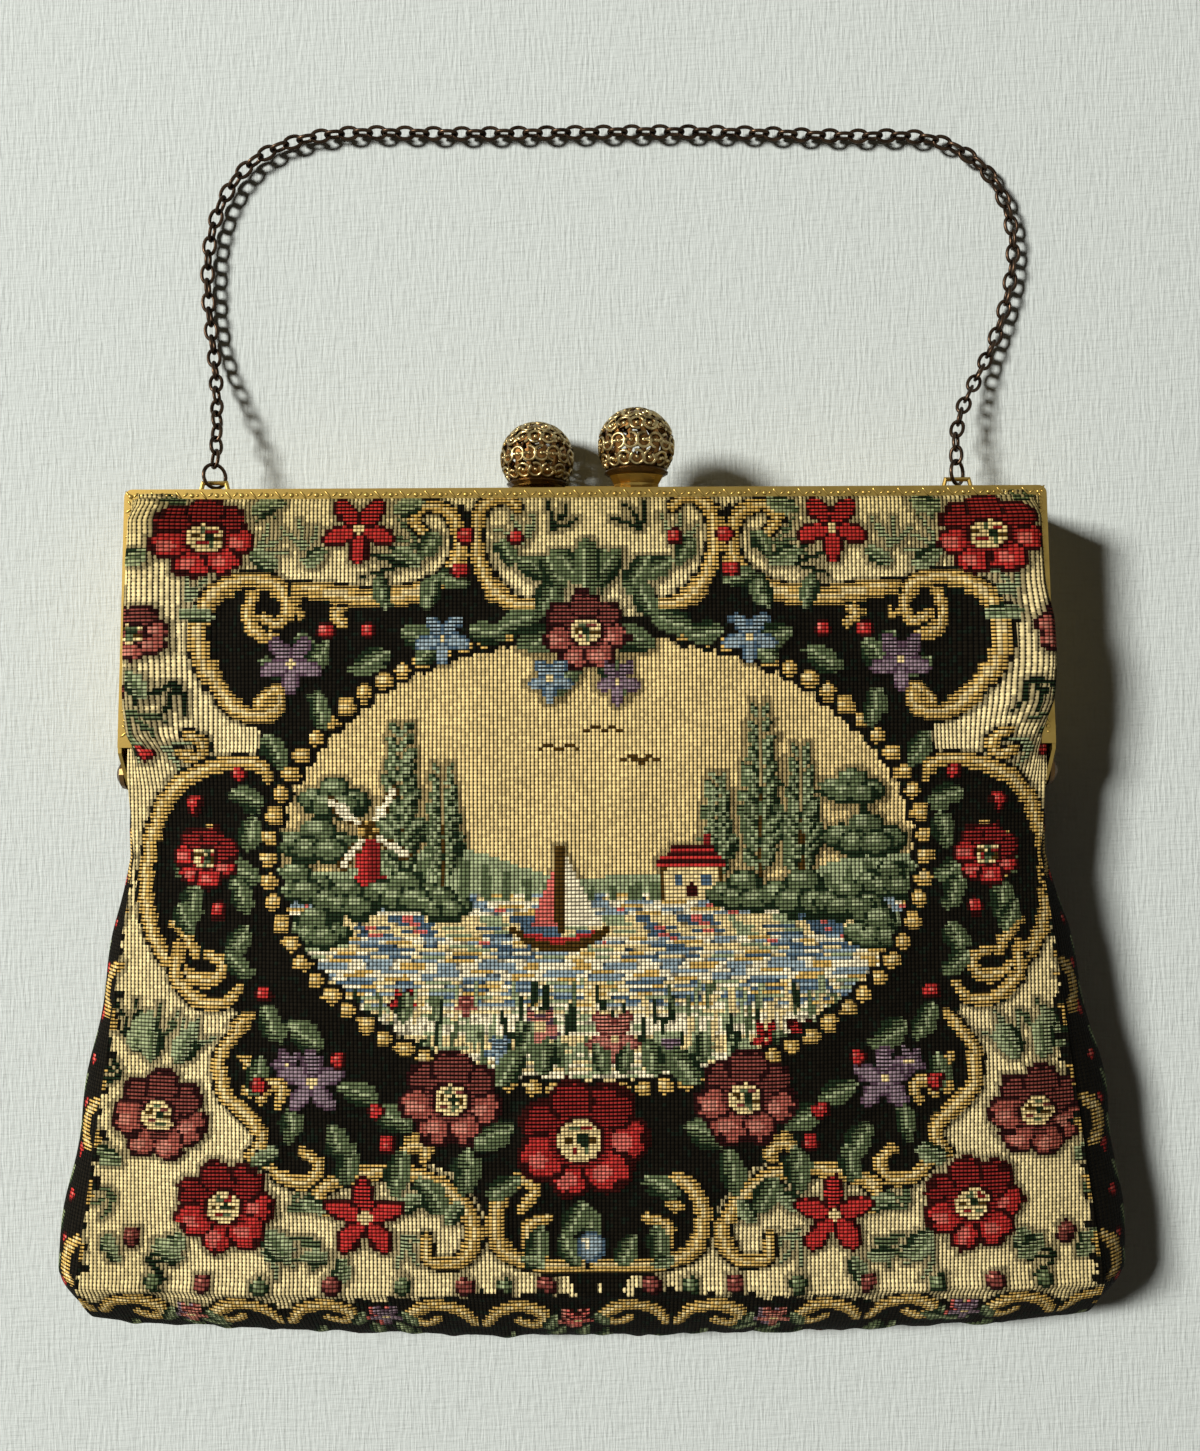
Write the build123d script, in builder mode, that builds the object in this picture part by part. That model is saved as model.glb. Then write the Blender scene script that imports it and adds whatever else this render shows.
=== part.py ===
from build123d import *
from math import cos, sin, tan, radians
import os

os.makedirs("parts", exist_ok=True)

# A frame purse lying on its back. X runs along the frame, Y from the pouch bottom to the chain,
# Z up out of the front. The origin is the middle of the flat back that the purse rests on.

# Frame
frame_width = 200.0
frame_height = 62.0  # hinge pin to the top edge
frame_depth = 15.0  # both halves shut
frame_lift = 6.5  # floor to the rear face
arm_splay = 2.0  # each arm leans out this much by the hinge
corner_radius = 1.8
sheet = 0.7  # metal
lip = 3.0  # channel flanges, seen from the front
parting_gap = 0.3
hinge_y = 75.0

frame_top = hinge_y + frame_height
parting_z = frame_lift + frame_depth / 2
half_depth = (frame_depth - parting_gap) / 2
front_low = parting_z + parting_gap / 2
arm_foot = hinge_y + 6.0
arm_slope = arm_splay / frame_height

# Hinges
hinge_half_width = 102.0  # outer face of the outer lug
lug_radius = 3.2
lug_sheet = 0.8
lug_gap = 0.2
lug_overlap = 4.0  # length of a lug along its arm
lug_root = 1.0  # the lug has its full width this far below the arm
pin_radius = 1.4
pin_clearance = 0.15
head_radius = 3.65
head_rim = 1.1  # steep edge of the domed head
head_crown = 1.1  # shallow top of the domed head
rim_taper = 18.0
crown_taper = 55.0
tail_radius = 2.3
tail_height = 0.8
round_sides = 16  # sides of small round parts

# Clasp knobs
knob_radius = 8.0
knob_wall = 0.7
knob_flat = 5.5  # centre of the ball down to its seat
knob_spacing = 22.2
knob_sides = 16
bracket_sides = 12
collar_height = 1.0
collar_radius = 6.9
bracket_height = 2.6
bracket_width = 10.0
bracket_flare = 1.2  # how much the bracket widens up to the collar
catch_sheet = 0.7
catch_reach = 4.5  # how far the catch runs past the middle of the frame
catch_depth = 6.6
catch_shift = 1.2  # middle of the catch in front of the parting line
catch_gap = 0.1

# Chain and its ears
ear_wire = 1.0
ear_height = 3.6  # frame top to the swing axis
ear_base = 7.2
ear_top = 5.2
ear_spacing = 168.0
ring_wire = 0.8
ring_radius = 3.1
ring_turn = 45.0  # a ring hangs half turned to the front
link_wire = 0.7
link_width = 3.5
link_end = 2.3  # straight end of a link
end_shrink = 0.72  # how much shorter the inside of that end is, for each width of wire
link_pitch = 3.28
link_play = 0.3
link_settle = 6.0  # links at each end that are still turned with the ring
chain_lift = 2.0  # floor to the middle of a link

# Cloth
cloth = 1.2
lining = 0.5
lining_gap = 0.15
gusset_facets = 4
cloth_inset = 1.9  # cloth edge inside the frame outline
seam = 0.1  # slack between pieces that lie against each other
cloth_z = frame_lift + frame_depth - sheet - 0.2  # top of the front cloth in its channel
back_z = frame_lift + sheet + 0.1  # underside of the back cloth in its channel


# One closed outline of the frame, moved inward, in the open sketch
def arch(inset, foot, mode=Mode.ADD):
    top = frame_top - inset
    half_top = frame_width / 2 - inset
    half_foot = half_top + arm_slope * (top - foot)
    with BuildLine() as outline:
        FilletPolyline(
            (-half_foot, foot),
            (-half_top, top),
            (half_top, top),
            (half_foot, foot),
            radius=max(corner_radius - inset, 0.6),
        )
        Line((half_foot, foot), (-half_foot, foot))
    make_face(outline.edges(), mode=mode)


# A band that follows the frame between two insets, in the open part
def arch_band(outer, inner, foot, low, height, mode=Mode.ADD):
    with BuildSketch(Plane.XY.offset(low)) as band:
        arch(outer, foot)
        arch(inner, foot - 1, Mode.SUBTRACT)
    extrude(band.sketch, amount=height, mode=mode)


# One half of the frame, a channel that opens inward
def channel(low):
    arch_band(0, lip, arm_foot, low, half_depth)
    arch_band(sheet, lip + 1, arm_foot - 1, low + sheet, half_depth - 2 * sheet, Mode.SUBTRACT)


# A hinge lug whose inner face stands at x, running from the pin up into an arm
def hinge_lug(x, low, hole_radius):
    with BuildSketch(Plane.YZ.offset(x)) as lug:
        with Locations((hinge_y, parting_z)):
            RegularPolygon(lug_radius, round_sides)
        with Locations((arm_foot - lug_gap - lug_root / 2, low + half_depth / 2)):
            Rectangle(lug_root, half_depth - 2 * sheet)
        make_hull()
        with Locations((arm_foot + lug_overlap / 2 - lug_gap / 2, low + half_depth / 2)):
            Rectangle(lug_overlap + lug_gap, half_depth - 2 * sheet)
        with Locations((hinge_y, parting_z)):
            Circle(hole_radius, mode=Mode.SUBTRACT)
    extrude(lug.sketch, amount=lug_sheet)


# Corners of a many-sided oval
def oval(width, depth, sides):
    turns = [radians(360 * (i + 0.5) / sides) for i in range(sides)]
    return [(width / 2 * cos(turn), depth / 2 * sin(turn)) for turn in turns]


# A faceted solid through ovals stacked up from the frame top, each (y, width, depth, z)
def oval_stack(x, sections, mode=Mode.ADD):
    faces = []
    for y, width, depth, z in sections:
        with BuildSketch(Plane((x, y, z), (1, 0, 0), (0, 1, 0))) as section:
            Polygon(*oval(width, depth, bracket_sides), align=None)
        faces.append(section.sketch)
    loft(faces, ruled=True, mode=mode)


# A many-sided body turned about the upright line through (x, z), from (radius, y) corners going up
def faceted_turning(x, z, profile):
    outline = profile + [(-radius, y) for radius, y in reversed(profile)]
    for i in range(knob_sides // 2):
        turn = radians(360 * i / knob_sides)
        plane = Plane((x, 0, z), (cos(turn), 0, sin(turn)), (-sin(turn), 0, cos(turn)))
        with BuildSketch(plane) as slab:
            Polygon(*outline, align=None)
        mode = Mode.INTERSECT if i else Mode.ADD
        extrude(slab.sketch, amount=2 * knob_radius, both=True, mode=mode)


# Corners up the side of a ball that is cut off flat at foot_y
def ball_profile(radius, foot_y):
    foot = (foot_y - ball_y) / radius
    corners = [(radius * (1 - foot * foot) ** 0.5, foot_y)]
    for angle in ball_bands:
        corners.append((radius * cos(radians(angle)), ball_y + radius * sin(radians(angle))))
    return corners


front_lug_x = hinge_half_width - lug_sheet
rear_lug_x = front_lug_x - lug_gap - lug_sheet
pin_hole = pin_radius + pin_clearance

with BuildPart() as front_frame:
    channel(front_low)
    hinge_lug(front_lug_x, front_low, pin_hole)
    hinge_lug(-hinge_half_width, front_low, pin_hole)
front_frame.part.label = "front_frame"
export_step(front_frame.part, "parts/front_frame.step")

# The rear lugs step inward past the front ones from a thick root
with BuildPart() as rear_frame:
    channel(frame_lift)
    hinge_lug(rear_lug_x, frame_lift, pin_radius)
    hinge_lug(-rear_lug_x - lug_sheet, frame_lift, pin_radius)
    root_width = frame_width / 2 + arm_splay - rear_lug_x - sheet
    root_y = arm_foot + lug_overlap / 2
    root_z = frame_lift + half_depth / 2
    for side in (-1, 1):
        with Locations((side * (rear_lug_x + root_width / 2), root_y, root_z)):
            Box(root_width, lug_overlap, half_depth - 2 * sheet)
rear_frame.part.label = "rear_frame"
export_step(rear_frame.part, "parts/rear_frame.step")

for side, word in ((-1, "left"), (1, "right")):
    # Rivet: a tail inside, the shank through both lugs and a domed head outside
    outward = Plane((0, hinge_y, parting_z), (0, 1, 0), (side, 0, 0))
    head_x = hinge_half_width + seam
    crown_radius = head_radius - head_rim * tan(radians(rim_taper))
    with BuildPart() as hinge_rivet:
        with BuildSketch(outward.offset(rear_lug_x - tail_height)):
            RegularPolygon(tail_radius, round_sides)
        extrude(amount=tail_height)
        with BuildSketch(outward.offset(rear_lug_x)):
            RegularPolygon(pin_radius, round_sides)
        extrude(amount=head_x - rear_lug_x)
        with BuildSketch(outward.offset(head_x)):
            RegularPolygon(head_radius, round_sides)
        extrude(amount=head_rim, taper=rim_taper)
        with BuildSketch(outward.offset(head_x + head_rim)):
            RegularPolygon(crown_radius, round_sides)
        extrude(amount=head_crown, taper=crown_taper)
    hinge_rivet.part.label = f"{word}_hinge_rivet"
    export_step(hinge_rivet.part, f"parts/{word}_hinge_rivet.step")


seat_y = frame_top + bracket_height + collar_height
ball_y = seat_y + knob_flat
front_foot_z = front_low + half_depth / 2
rear_foot_z = frame_lift + half_depth / 2
knob_lean = rear_foot_z - knob_radius  # the rear ball reaches the floor, the front one leans as far out
ball_bands = (-30, -2, 26, 52, 74, 86)  # latitudes of the facet edges
# Rows of leaning openings, as (latitude, height, width, lean)
ball_rows = ((-16, 2.3, 1.8, -20), (12, 2.3, 1.8, 20), (38, 2.0, 1.2, -20))

for half, x, foot_z, lean in (
    ("rear", -knob_spacing / 2, rear_foot_z, -knob_lean),
    ("front", knob_spacing / 2, front_foot_z, knob_lean),
):
    ball_z = foot_z + lean

    # Bracket: an oval foot on the frame top that widens and leans out to the collar
    with BuildPart() as knob_bracket:
        foot_width = half_depth - 2 * sheet
        oval_stack(
            x,
            [
                (frame_top, bracket_width, foot_width, foot_z),
                (frame_top + bracket_height * 0.4, bracket_width, foot_width, foot_z + lean * 0.3),
                (frame_top + bracket_height, bracket_width * bracket_flare, foot_width * bracket_flare, ball_z),
            ],
        )
        if half == "front":
            # Catch: a low tongue from the foot that lies across the rear half
            catch_y = frame_top + catch_gap + catch_sheet / 2
            with Locations(((x - catch_reach) / 2, catch_y, parting_z + catch_shift)):
                Box(x + catch_reach, catch_sheet, catch_depth)
    knob_bracket.part.label = f"{half}_knob_bracket"
    export_step(knob_bracket.part, f"parts/{half}_knob_bracket.step")

    # Collar: a thin flared plate under the ball
    collar_y = frame_top + bracket_height
    with BuildPart() as knob_collar:
        faceted_turning(
            x,
            ball_z,
            [
                (collar_radius - 1, collar_y),
                (collar_radius, collar_y + collar_height * 0.6),
                (collar_radius - 0.3, seat_y),
            ],
        )
    knob_collar.part.label = f"{half}_knob_collar"
    export_step(knob_collar.part, f"parts/{half}_knob_collar.step")

    # Ball: a thin hollow shell, cut open in rows like the pierced scrollwork of the real one
    with BuildPart() as ball_hollow:
        faceted_turning(x, ball_z, ball_profile(knob_radius - knob_wall, seat_y - 1))
    with BuildPart() as knob_ball:
        faceted_turning(x, ball_z, ball_profile(knob_radius, seat_y))
        add(ball_hollow.part, mode=Mode.SUBTRACT)
        openings = []
        for angle, tall, wide, tilt in ball_rows:
            for i in range(knob_sides):
                turn = radians(360 * i / knob_sides)
                out = cos(radians(angle))
                direction = Vector(out * cos(turn), sin(radians(angle)), -out * sin(turn))
                across = Vector(sin(turn), 0, cos(turn))
                start = Vector(x, ball_y, ball_z) + direction * (knob_radius - 3 * knob_wall)
                with BuildSketch(Plane(start, across, direction)) as opening:
                    Rectangle(wide, tall, rotation=tilt)
                openings += opening.sketch.faces()
        extrude(openings, amount=4 * knob_wall, mode=Mode.SUBTRACT)
    knob_ball.part.label = f"{half}_knob_ball"
    export_step(knob_ball.part, f"parts/{half}_knob_ball.step")


# Corners of a chain link seen flat, long along x, its ends straight and its sides bowed
def link_outline(shrink):
    half_length = (link_pitch + link_play) / 2 + link_wire - shrink
    half_width = link_width / 2 - shrink
    end = link_end / 2 - shrink * end_shrink
    return [
        (half_length, -end),
        (half_length, end),
        (0, half_width),
        (-half_length, end),
        (-half_length, -end),
        (0, -half_width),
    ]


swing_y = frame_top + ear_height
ear_z = rear_foot_z
ring_hole = ring_radius - ring_wire
ring_centre_y = swing_y + ring_hole - ear_wire / 2 - 2.5 * seam
ring_normal = (cos(radians(ring_turn)), 0, sin(radians(ring_turn)))

for side, word in ((-1, "left"), (1, "right")):
    ear_x = side * ear_spacing / 2

    # Ear: a bent wire loop standing on the rear half
    with BuildPart() as chain_ear:
        with BuildLine(Plane((ear_x, frame_top, ear_z))) as loop:
            Polyline((-ear_base / 2, 0), (-ear_top / 2, ear_height), (ear_top / 2, ear_height), (ear_base / 2, 0))
        with BuildSketch(Plane(loop.line @ 0, z_dir=loop.line % 0)) as wire:
            RegularPolygon(ear_wire / 2, 8)
        sweep(wire.sketch, loop.line, transition=Transition.RIGHT)
        split(bisect_by=Plane((0, frame_top, 0), z_dir=(0, 1, 0)), keep=Keep.TOP)
    chain_ear.part.label = f"{word}_chain_ear"
    export_step(chain_ear.part, f"parts/{word}_chain_ear.step")

    # Ring: joins the ear to the first link
    with BuildPart() as jump_ring:
        with BuildSketch(Plane((ear_x, ring_centre_y, ear_z), (0, 1, 0), ring_normal)) as ring:
            RegularPolygon(ring_radius, round_sides)
            RegularPolygon(ring_hole, round_sides, mode=Mode.SUBTRACT)
        extrude(ring.sketch, amount=ring_wire / 2, both=True)
    jump_ring.part.label = f"{word}_jump_ring"
    export_step(jump_ring.part, f"parts/{word}_jump_ring.step")

# Route of the chain over the floor, from the left ring round to the right one
first_y = ring_centre_y + ring_hole - seam + link_play / 2
route = [
    (-84, first_y, ear_z),
    (-84.6, 158, 6.4),
    (-86.4, 171, chain_lift + 0.5),
    (-88, 188, chain_lift),
    (-86, 204, chain_lift),
    (-78, 216.5, chain_lift),
    (-64, 222.6, chain_lift),
    (-40, 223.6, chain_lift),
    (0, 223.6, chain_lift),
    (40, 223.2, chain_lift),
    (66, 222.4, chain_lift),
    (82, 221.2, chain_lift),
    (94, 213.5, chain_lift),
    (99.4, 201, chain_lift),
    (98.6, 186, chain_lift),
    (93.6, 171, chain_lift + 0.5),
    (86.6, 158, 6.4),
    (84, first_y, ear_z),
]
with BuildLine() as chain_path:
    Spline(*route)
path = chain_path.edges()[0]
link_count = 2 * round((path.length / link_pitch - 1) / 2) + 1  # odd, so that both end links lie alike
even_pitch = path.length / link_count

with BuildPart() as chain_links:
    planes = []
    for i in range(link_count):
        along = (i + 0.5) * even_pitch
        centre = path.position_at(along, PositionMode.LENGTH)
        tangent = path.tangent_at(along, PositionMode.LENGTH)
        from_end = min(i, link_count - 1 - i)
        turn = ring_turn * max(0, 1 - from_end / link_settle)
        if i > link_count / 2:
            turn = -turn  # the path runs the other way past the right ring
        roll = radians(turn + 90 * (i % 2))
        level = Vector(0, 0, 1).cross(tangent).normalized()
        upright = tangent.cross(level)
        planes.append(Plane(centre, tangent, upright * cos(roll) + level * sin(roll)))
    with BuildSketch(*planes) as links:
        Polygon(*link_outline(0), align=None)
        Polygon(*link_outline(link_wire), align=None, mode=Mode.SUBTRACT)
    extrude(links.sketch, amount=link_wire / 2, both=True)
chain_links.part.label = "chain_links"
export_step(chain_links.part, "parts/chain_links.step")


# Half width of a cloth panel at each height of the purse, before its seam
def panel_half_width(y):
    if y >= hinge_y:
        return frame_width / 2 - cloth_inset + arm_slope * (frame_top - y)
    stops = [(hinge_y, frame_width / 2 - cloth_inset + arm_splay), *flare]
    for (y1, w1), (y2, w2) in zip(stops, stops[1:]):
        if y >= y2:
            return w1 + (w2 - w1) * (y1 - y) / (y1 - y2)
    return stops[-1][1]


# A lofted sheet through curved strips. Each station gives the strip's outer edge (y, z), how far it has
# turned round the purse bottom, and its crown.
def wrapped_sheet(stations, thickness):
    faces = []
    for y, z, turn, crown in stations:
        ahead = (0, -cos(radians(turn)), -sin(radians(turn)))
        half = panel_half_width(y)
        with BuildSketch(Plane((0, y, z), (1, 0, 0), ahead)) as strip:
            with BuildLine() as outline:
                ThreePointArc((-half, 0), (0, crown), (half, 0))
                Line((half, 0), (half, -thickness))
                ThreePointArc((half, -thickness), (0, crown - thickness), (-half, -thickness))
                Line((-half, -thickness), (-half, 0))
            make_face(outline.edges())
        faces.append(strip.sketch)
    loft(faces, ruled=True)


# A flat sheet seen from the side along (y, z), cut to the plan of the panels
def flat_sheet(profile, thickness, narrow):
    lower = [(y, z) for y, z in profile]
    upper = [(y, z + thickness) for y, z in reversed(profile)]
    with BuildSketch(Plane.YZ) as side_view:
        Polygon(*lower, *upper, align=None)
    extrude(side_view.sketch, amount=1.5 * frame_width, both=True)
    levels = [profile[0][0], *[y for y, _ in reversed(flare)], hinge_y, profile[-1][0]]
    levels = sorted({y for y in levels if profile[0][0] <= y <= profile[-1][0]})
    right = [(panel_half_width(y) - narrow(y), y) for y in levels]
    with BuildSketch() as plan:
        Polygon(*right, *[(-x, y) for x, y in reversed(right)], align=None)
    extrude(plan.sketch, amount=frame_lift + frame_depth, mode=Mode.INTERSECT)


# A side sheet between the front and back seams, bulging out. Stations are (y, low z, high z, bulge).
def side_sheet(side, thickness):
    faces = []
    steps = [i / gusset_facets for i in range(gusset_facets + 1)]
    for y, low, high, bulge in gusset_stations:
        edge = panel_half_width(y)
        outer = [(side * (edge + 4 * bulge * t * (1 - t)), low + (high - low) * t) for t in steps]
        inner = [(x - side * thickness, z) for x, z in reversed(outer)]
        with BuildSketch(Plane((0, y, 0), (1, 0, 0), (0, -1, 0))) as strip:
            Polygon(*outer, *inner, align=None)
        faces.append(strip.sketch)
    loft(faces, ruled=True)


# A sheet that hangs straight down inside a gusset, along the edges of the panels
def hanging_sheet(side, inset, thickness):
    edge = [(side * (panel_half_width(y) - inset), y) for y, _, _, _ in gusset_stations]
    with BuildSketch() as plan:
        Polygon(*edge, *[(x - side * thickness, y) for x, y in reversed(edge)], align=None)
    extrude(plan.sketch, amount=frame_lift + frame_depth)
    lower = [(y, low + inset) for y, low, _, _ in gusset_stations]
    upper = [(y, high - inset) for y, _, high, _ in reversed(gusset_stations)]
    with BuildSketch(Plane.YZ) as side_view:
        Polygon(*lower, *upper, align=None)
    extrude(side_view.sketch, amount=frame_width, both=True, mode=Mode.INTERSECT)


# Plan of the pouch below the hinges, as (y, half width)
flare = [(57, 98.8), (40, 101.6), (10, 105.6), (-37, 112.2), (-50, 112.2)]

# Front cloth: from the channel over the full front, past the creased edge and round the bottom
front_stations = [
    (frame_top - sheet - 0.3, cloth_z, 0, 0.12),
    (frame_top - lip - 0.5, cloth_z, 0, 0.12),
    (frame_top - 9, cloth_z, 0, 1.8),
    (96, cloth_z, 0, 5.3),
    (hinge_y, cloth_z, 0, 6.0),
    (57, 20.2, 0, 6.4),
    (-5, 20.4, 0, 5.4),
    (-36, 20.4, 8, 2.2),
    (-41.5, 16.6, 52, 2.6),
    (-46.5, 10.6, 74, 3.6),
    (-48.4, 5.0, 96, 4.0),
    (-47.0, 1.9, 130, 2.2),
    (-45.4, 0.7, 150, 0.6),
]
back_end = -45.0
bottom_turn = 60.0  # the front has turned this far down where its lining ends
back_profile = [(back_end, 0), (45, 0), (63, 3.2), (arm_foot - 1, back_z), (frame_top - sheet - 0.3, back_z)]
gusset_stations = [
    (70.5, 6.6, 18.9, 0.8),
    (57, 3.5, 18.9, 3.6),
    (40, cloth + seam, 18.9, 4.7),
    (-33, cloth + seam, 18.8, 7.9),
    (-41.5, cloth + 2 * seam, 14.2, 6.0),
    (-44.8, 3.2, 10.0, 3.0),
]


# Lining sheets keep inside the gussets below the hinges and reach into the channels above them
def lining_narrow(y):
    return 0.4 if y > hinge_y + 3 else cloth + lining + 3 * seam


def cloth_narrow(y):
    return 0


with BuildPart() as front_panel:
    wrapped_sheet(front_stations, cloth)
front_panel.part.label = "front_panel"
export_step(front_panel.part, "parts/front_panel.step")

with BuildPart() as back_panel:
    flat_sheet(back_profile, cloth, cloth_narrow)
back_panel.part.label = "back_panel"
export_step(back_panel.part, "parts/back_panel.step")

under = cloth + lining_gap
# The front lining lies level under the crown of the front cloth, as far as the bottom corner
with BuildPart() as front_lining:
    lining_profile = [
        (y + sin(radians(turn)) * under, z - cos(radians(turn)) * under - lining)
        for y, z, turn, crown in reversed(front_stations)
        if turn < bottom_turn
    ]
    flat_sheet(lining_profile, lining, lining_narrow)
front_lining.part.label = "front_lining"
export_step(front_lining.part, "parts/front_lining.step")

with BuildPart() as back_lining:
    lining_profile = [(max(y, back_end + 5), z + under) for y, z in back_profile]
    flat_sheet(lining_profile, lining, lining_narrow)
back_lining.part.label = "back_lining"
export_step(back_lining.part, "parts/back_lining.step")

for side, word in ((-1, "left"), (1, "right")):
    with BuildPart() as gusset:
        side_sheet(side, cloth)
    gusset.part.label = f"{word}_gusset"
    export_step(gusset.part, f"parts/{word}_gusset.step")

    with BuildPart() as gusset_lining:
        hanging_sheet(side, cloth + seam, lining)
    gusset_lining.part.label = f"{word}_gusset_lining"
    export_step(gusset_lining.part, f"parts/{word}_gusset_lining.step")

# Packing cord: fills each channel behind the cloth and lining and grips their edges
packing_foot = arm_foot + lug_overlap + 1
packing_outer = sheet + seam
packing_inner = lip - seam
rear_packing_low = back_z + under + lining + seam
front_packing_low = front_low + sheet + seam
front_packing_high = cloth_z - under - lining - seam
for half, low, high in (
    ("rear", rear_packing_low, parting_z - parting_gap / 2 - sheet - seam),
    ("front", front_packing_low, front_packing_high),
):
    with BuildPart() as packing:
        arch_band(packing_outer, packing_inner, packing_foot, low, high - low)
    packing.part.label = f"{half}_packing_cord"
    export_step(packing.part, f"parts/{half}_packing_cord.step")
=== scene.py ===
import bpy
import bmesh
import math
import numpy as np
from mathutils import Matrix, Vector


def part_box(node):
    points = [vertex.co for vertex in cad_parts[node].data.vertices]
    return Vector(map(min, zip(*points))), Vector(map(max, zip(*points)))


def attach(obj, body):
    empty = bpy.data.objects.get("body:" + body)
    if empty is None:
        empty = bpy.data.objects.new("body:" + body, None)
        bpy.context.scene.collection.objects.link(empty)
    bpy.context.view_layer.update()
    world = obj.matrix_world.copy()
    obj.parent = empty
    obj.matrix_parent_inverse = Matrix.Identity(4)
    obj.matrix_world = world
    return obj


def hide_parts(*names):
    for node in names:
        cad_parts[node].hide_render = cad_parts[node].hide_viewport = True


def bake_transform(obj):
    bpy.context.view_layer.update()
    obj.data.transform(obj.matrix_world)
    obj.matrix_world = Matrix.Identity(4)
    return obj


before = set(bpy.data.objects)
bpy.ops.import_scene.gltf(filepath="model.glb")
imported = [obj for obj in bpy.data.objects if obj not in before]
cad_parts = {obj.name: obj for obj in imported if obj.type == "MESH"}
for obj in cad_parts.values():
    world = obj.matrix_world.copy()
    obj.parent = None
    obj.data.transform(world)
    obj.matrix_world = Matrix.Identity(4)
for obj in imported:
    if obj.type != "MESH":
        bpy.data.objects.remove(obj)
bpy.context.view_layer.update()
mm = 0.001
rng = np.random.default_rng(7)


# sRGB hex to the linear values Blender works in
def linear(hexCode):
    parts = [int(hexCode[i:i + 2], 16) / 255 for i in (1, 3, 5)]
    return [c / 12.92 if c <= 0.04045 else ((c + 0.055) / 1.055) ** 2.4 for c in parts]


# adds one shader node, its inputs given as values or as other nodes' sockets
def node(tree, kind, inputs, **settings):
    made = tree.nodes.new(kind)
    for key, value in settings.items():
        setattr(made, key, value)
    for key, value in inputs.items():
        if isinstance(value, bpy.types.NodeSocket):
            tree.links.new(value, made.inputs[key])
        else:
            made.inputs[key].default_value = value
    return made


def maths(tree, operation, a, b=0.0, c=0.0):
    return node(tree, "ShaderNodeMath", {0: a, 1: b, 2: c}, operation=operation).outputs[0]


def newMaterial(name):
    made = bpy.data.materials.new(name)
    made.use_nodes = True
    return made, made.node_tree, made.node_tree.nodes["Principled BSDF"]


# a finished bmesh becomes an object at the origin
def addObject(name, bm, material, smooth=True):
    mesh = bpy.data.meshes.new(name)
    bm.to_mesh(mesh)
    bm.free()
    made = bpy.data.objects.new(name, mesh)
    bpy.context.scene.collection.objects.link(made)
    mesh.materials.append(material)
    if smooth:
        mesh.shade_smooth()
    return made


# a smooth curve through the given rows of numbers, with this many steps to each row
def through(points, steps):
    p = np.asarray(points, float)
    p = np.vstack([2 * p[0] - p[1], p, 2 * p[-1] - p[-2]])
    out = []
    for i in range(1, len(p) - 2):
        for t in np.arange(steps) / steps:
            a = 2 * p[i] + (p[i + 1] - p[i - 1]) * t
            b = (2 * p[i - 1] - 5 * p[i] + 4 * p[i + 1] - p[i + 2]) * t ** 2
            c = (3 * p[i] - p[i - 1] - 3 * p[i + 1] + p[i + 2]) * t ** 3
            out.append((a + b + c) / 2)
    out.append(p[-2])
    return np.array(out)


# the same curve cut into equal lengths, measured over its first two columns
def evenly(curve, count):
    steps = np.linalg.norm(np.diff(curve[:, :2], axis=0), axis=1)
    along = np.concatenate([[0], np.cumsum(steps)])
    wanted = np.linspace(0, along[-1], count)
    return np.column_stack([np.interp(wanted, along, column) for column in curve.T]), wanted


# Cloth shapes, in millimetres

pouch = {
    "hinge": 75.0, "top": 137.0, "halfTop": 100.0, "inset": 1.9, "slope": 2.0 / 62.0,
    "flare": ((57, 98.8), (40, 101.6), (10, 105.6), (-37, 112.2), (-50, 112.2)),
    # distance up the purse, edge height, turn round the bottom and crown of the front cloth
    "front": ((136.0, 20.6, 0, 0.1), (134.0, 20.7, 0, 0.1), (133.8, 21.3, 0, 0.1), (134.7, 21.9, 0, 0.1),
              (132.6, 22.2, 0, 0.5), (128, 21.3, 0, 1.9), (118, 20.8, 0, 4.0),
              (96, 20.7, 0, 5.4), (75, 20.6, 0, 6.1), (57, 20.2, 0, 6.4), (30, 20.2, 0, 6.6), (-5, 20.4, 0, 5.4),
              (-30, 20.4, 2, 3.0), (-36, 20.5, 8, 2.5), (-38.6, 19.3, 30, 2.2), (-42.1, 16.8, 52, 2.6),
              (-47.6, 10.8, 74, 3.6), (-49.6, 5.0, 96, 4.0), (-48.0, 1.9, 130, 2.2), (-45.4, 0.7, 150, 0.6)),
    "back": ((-45, 0), (-30, 0), (0, 0), (45, 0), (63, 3.2), (80, 7.3), (100, 7.3), (136, 7.3)),
    "gusset": ((70.5, 6.6, 18.9, 0.8), (57, 3.5, 18.9, 3.6), (40, 1.3, 18.9, 4.7), (10, 1.3, 19.0, 6.4),
               (-30, 1.3, 19.1, 8.0), (-37, 1.3, 18.2, 7.6), (-41.8, 1.4, 14.6, 6.0), (-46.0, 2.6, 10.8, 3.0)),
}


def halfWidth(y):
    above = pouch["halfTop"] - pouch["inset"] + pouch["slope"] * (pouch["top"] - np.asarray(y, float))
    stops = sorted([(pouch["hinge"], pouch["halfTop"] - pouch["inset"] + 2.0), *pouch["flare"]])
    below = np.interp(y, [s[0] for s in stops], [s[1] for s in stops])
    return np.where(np.asarray(y) >= pouch["hinge"], above, below)


frontSettings = {"across": 256, "along": 262, "pxPerMm": 4.62, "pxMiddle": 587.0, "pxTop": 488.0, "lift": 0.72}

# Tapestry: the woven picture is painted stitch by stitch in the photo's own proportions

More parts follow.
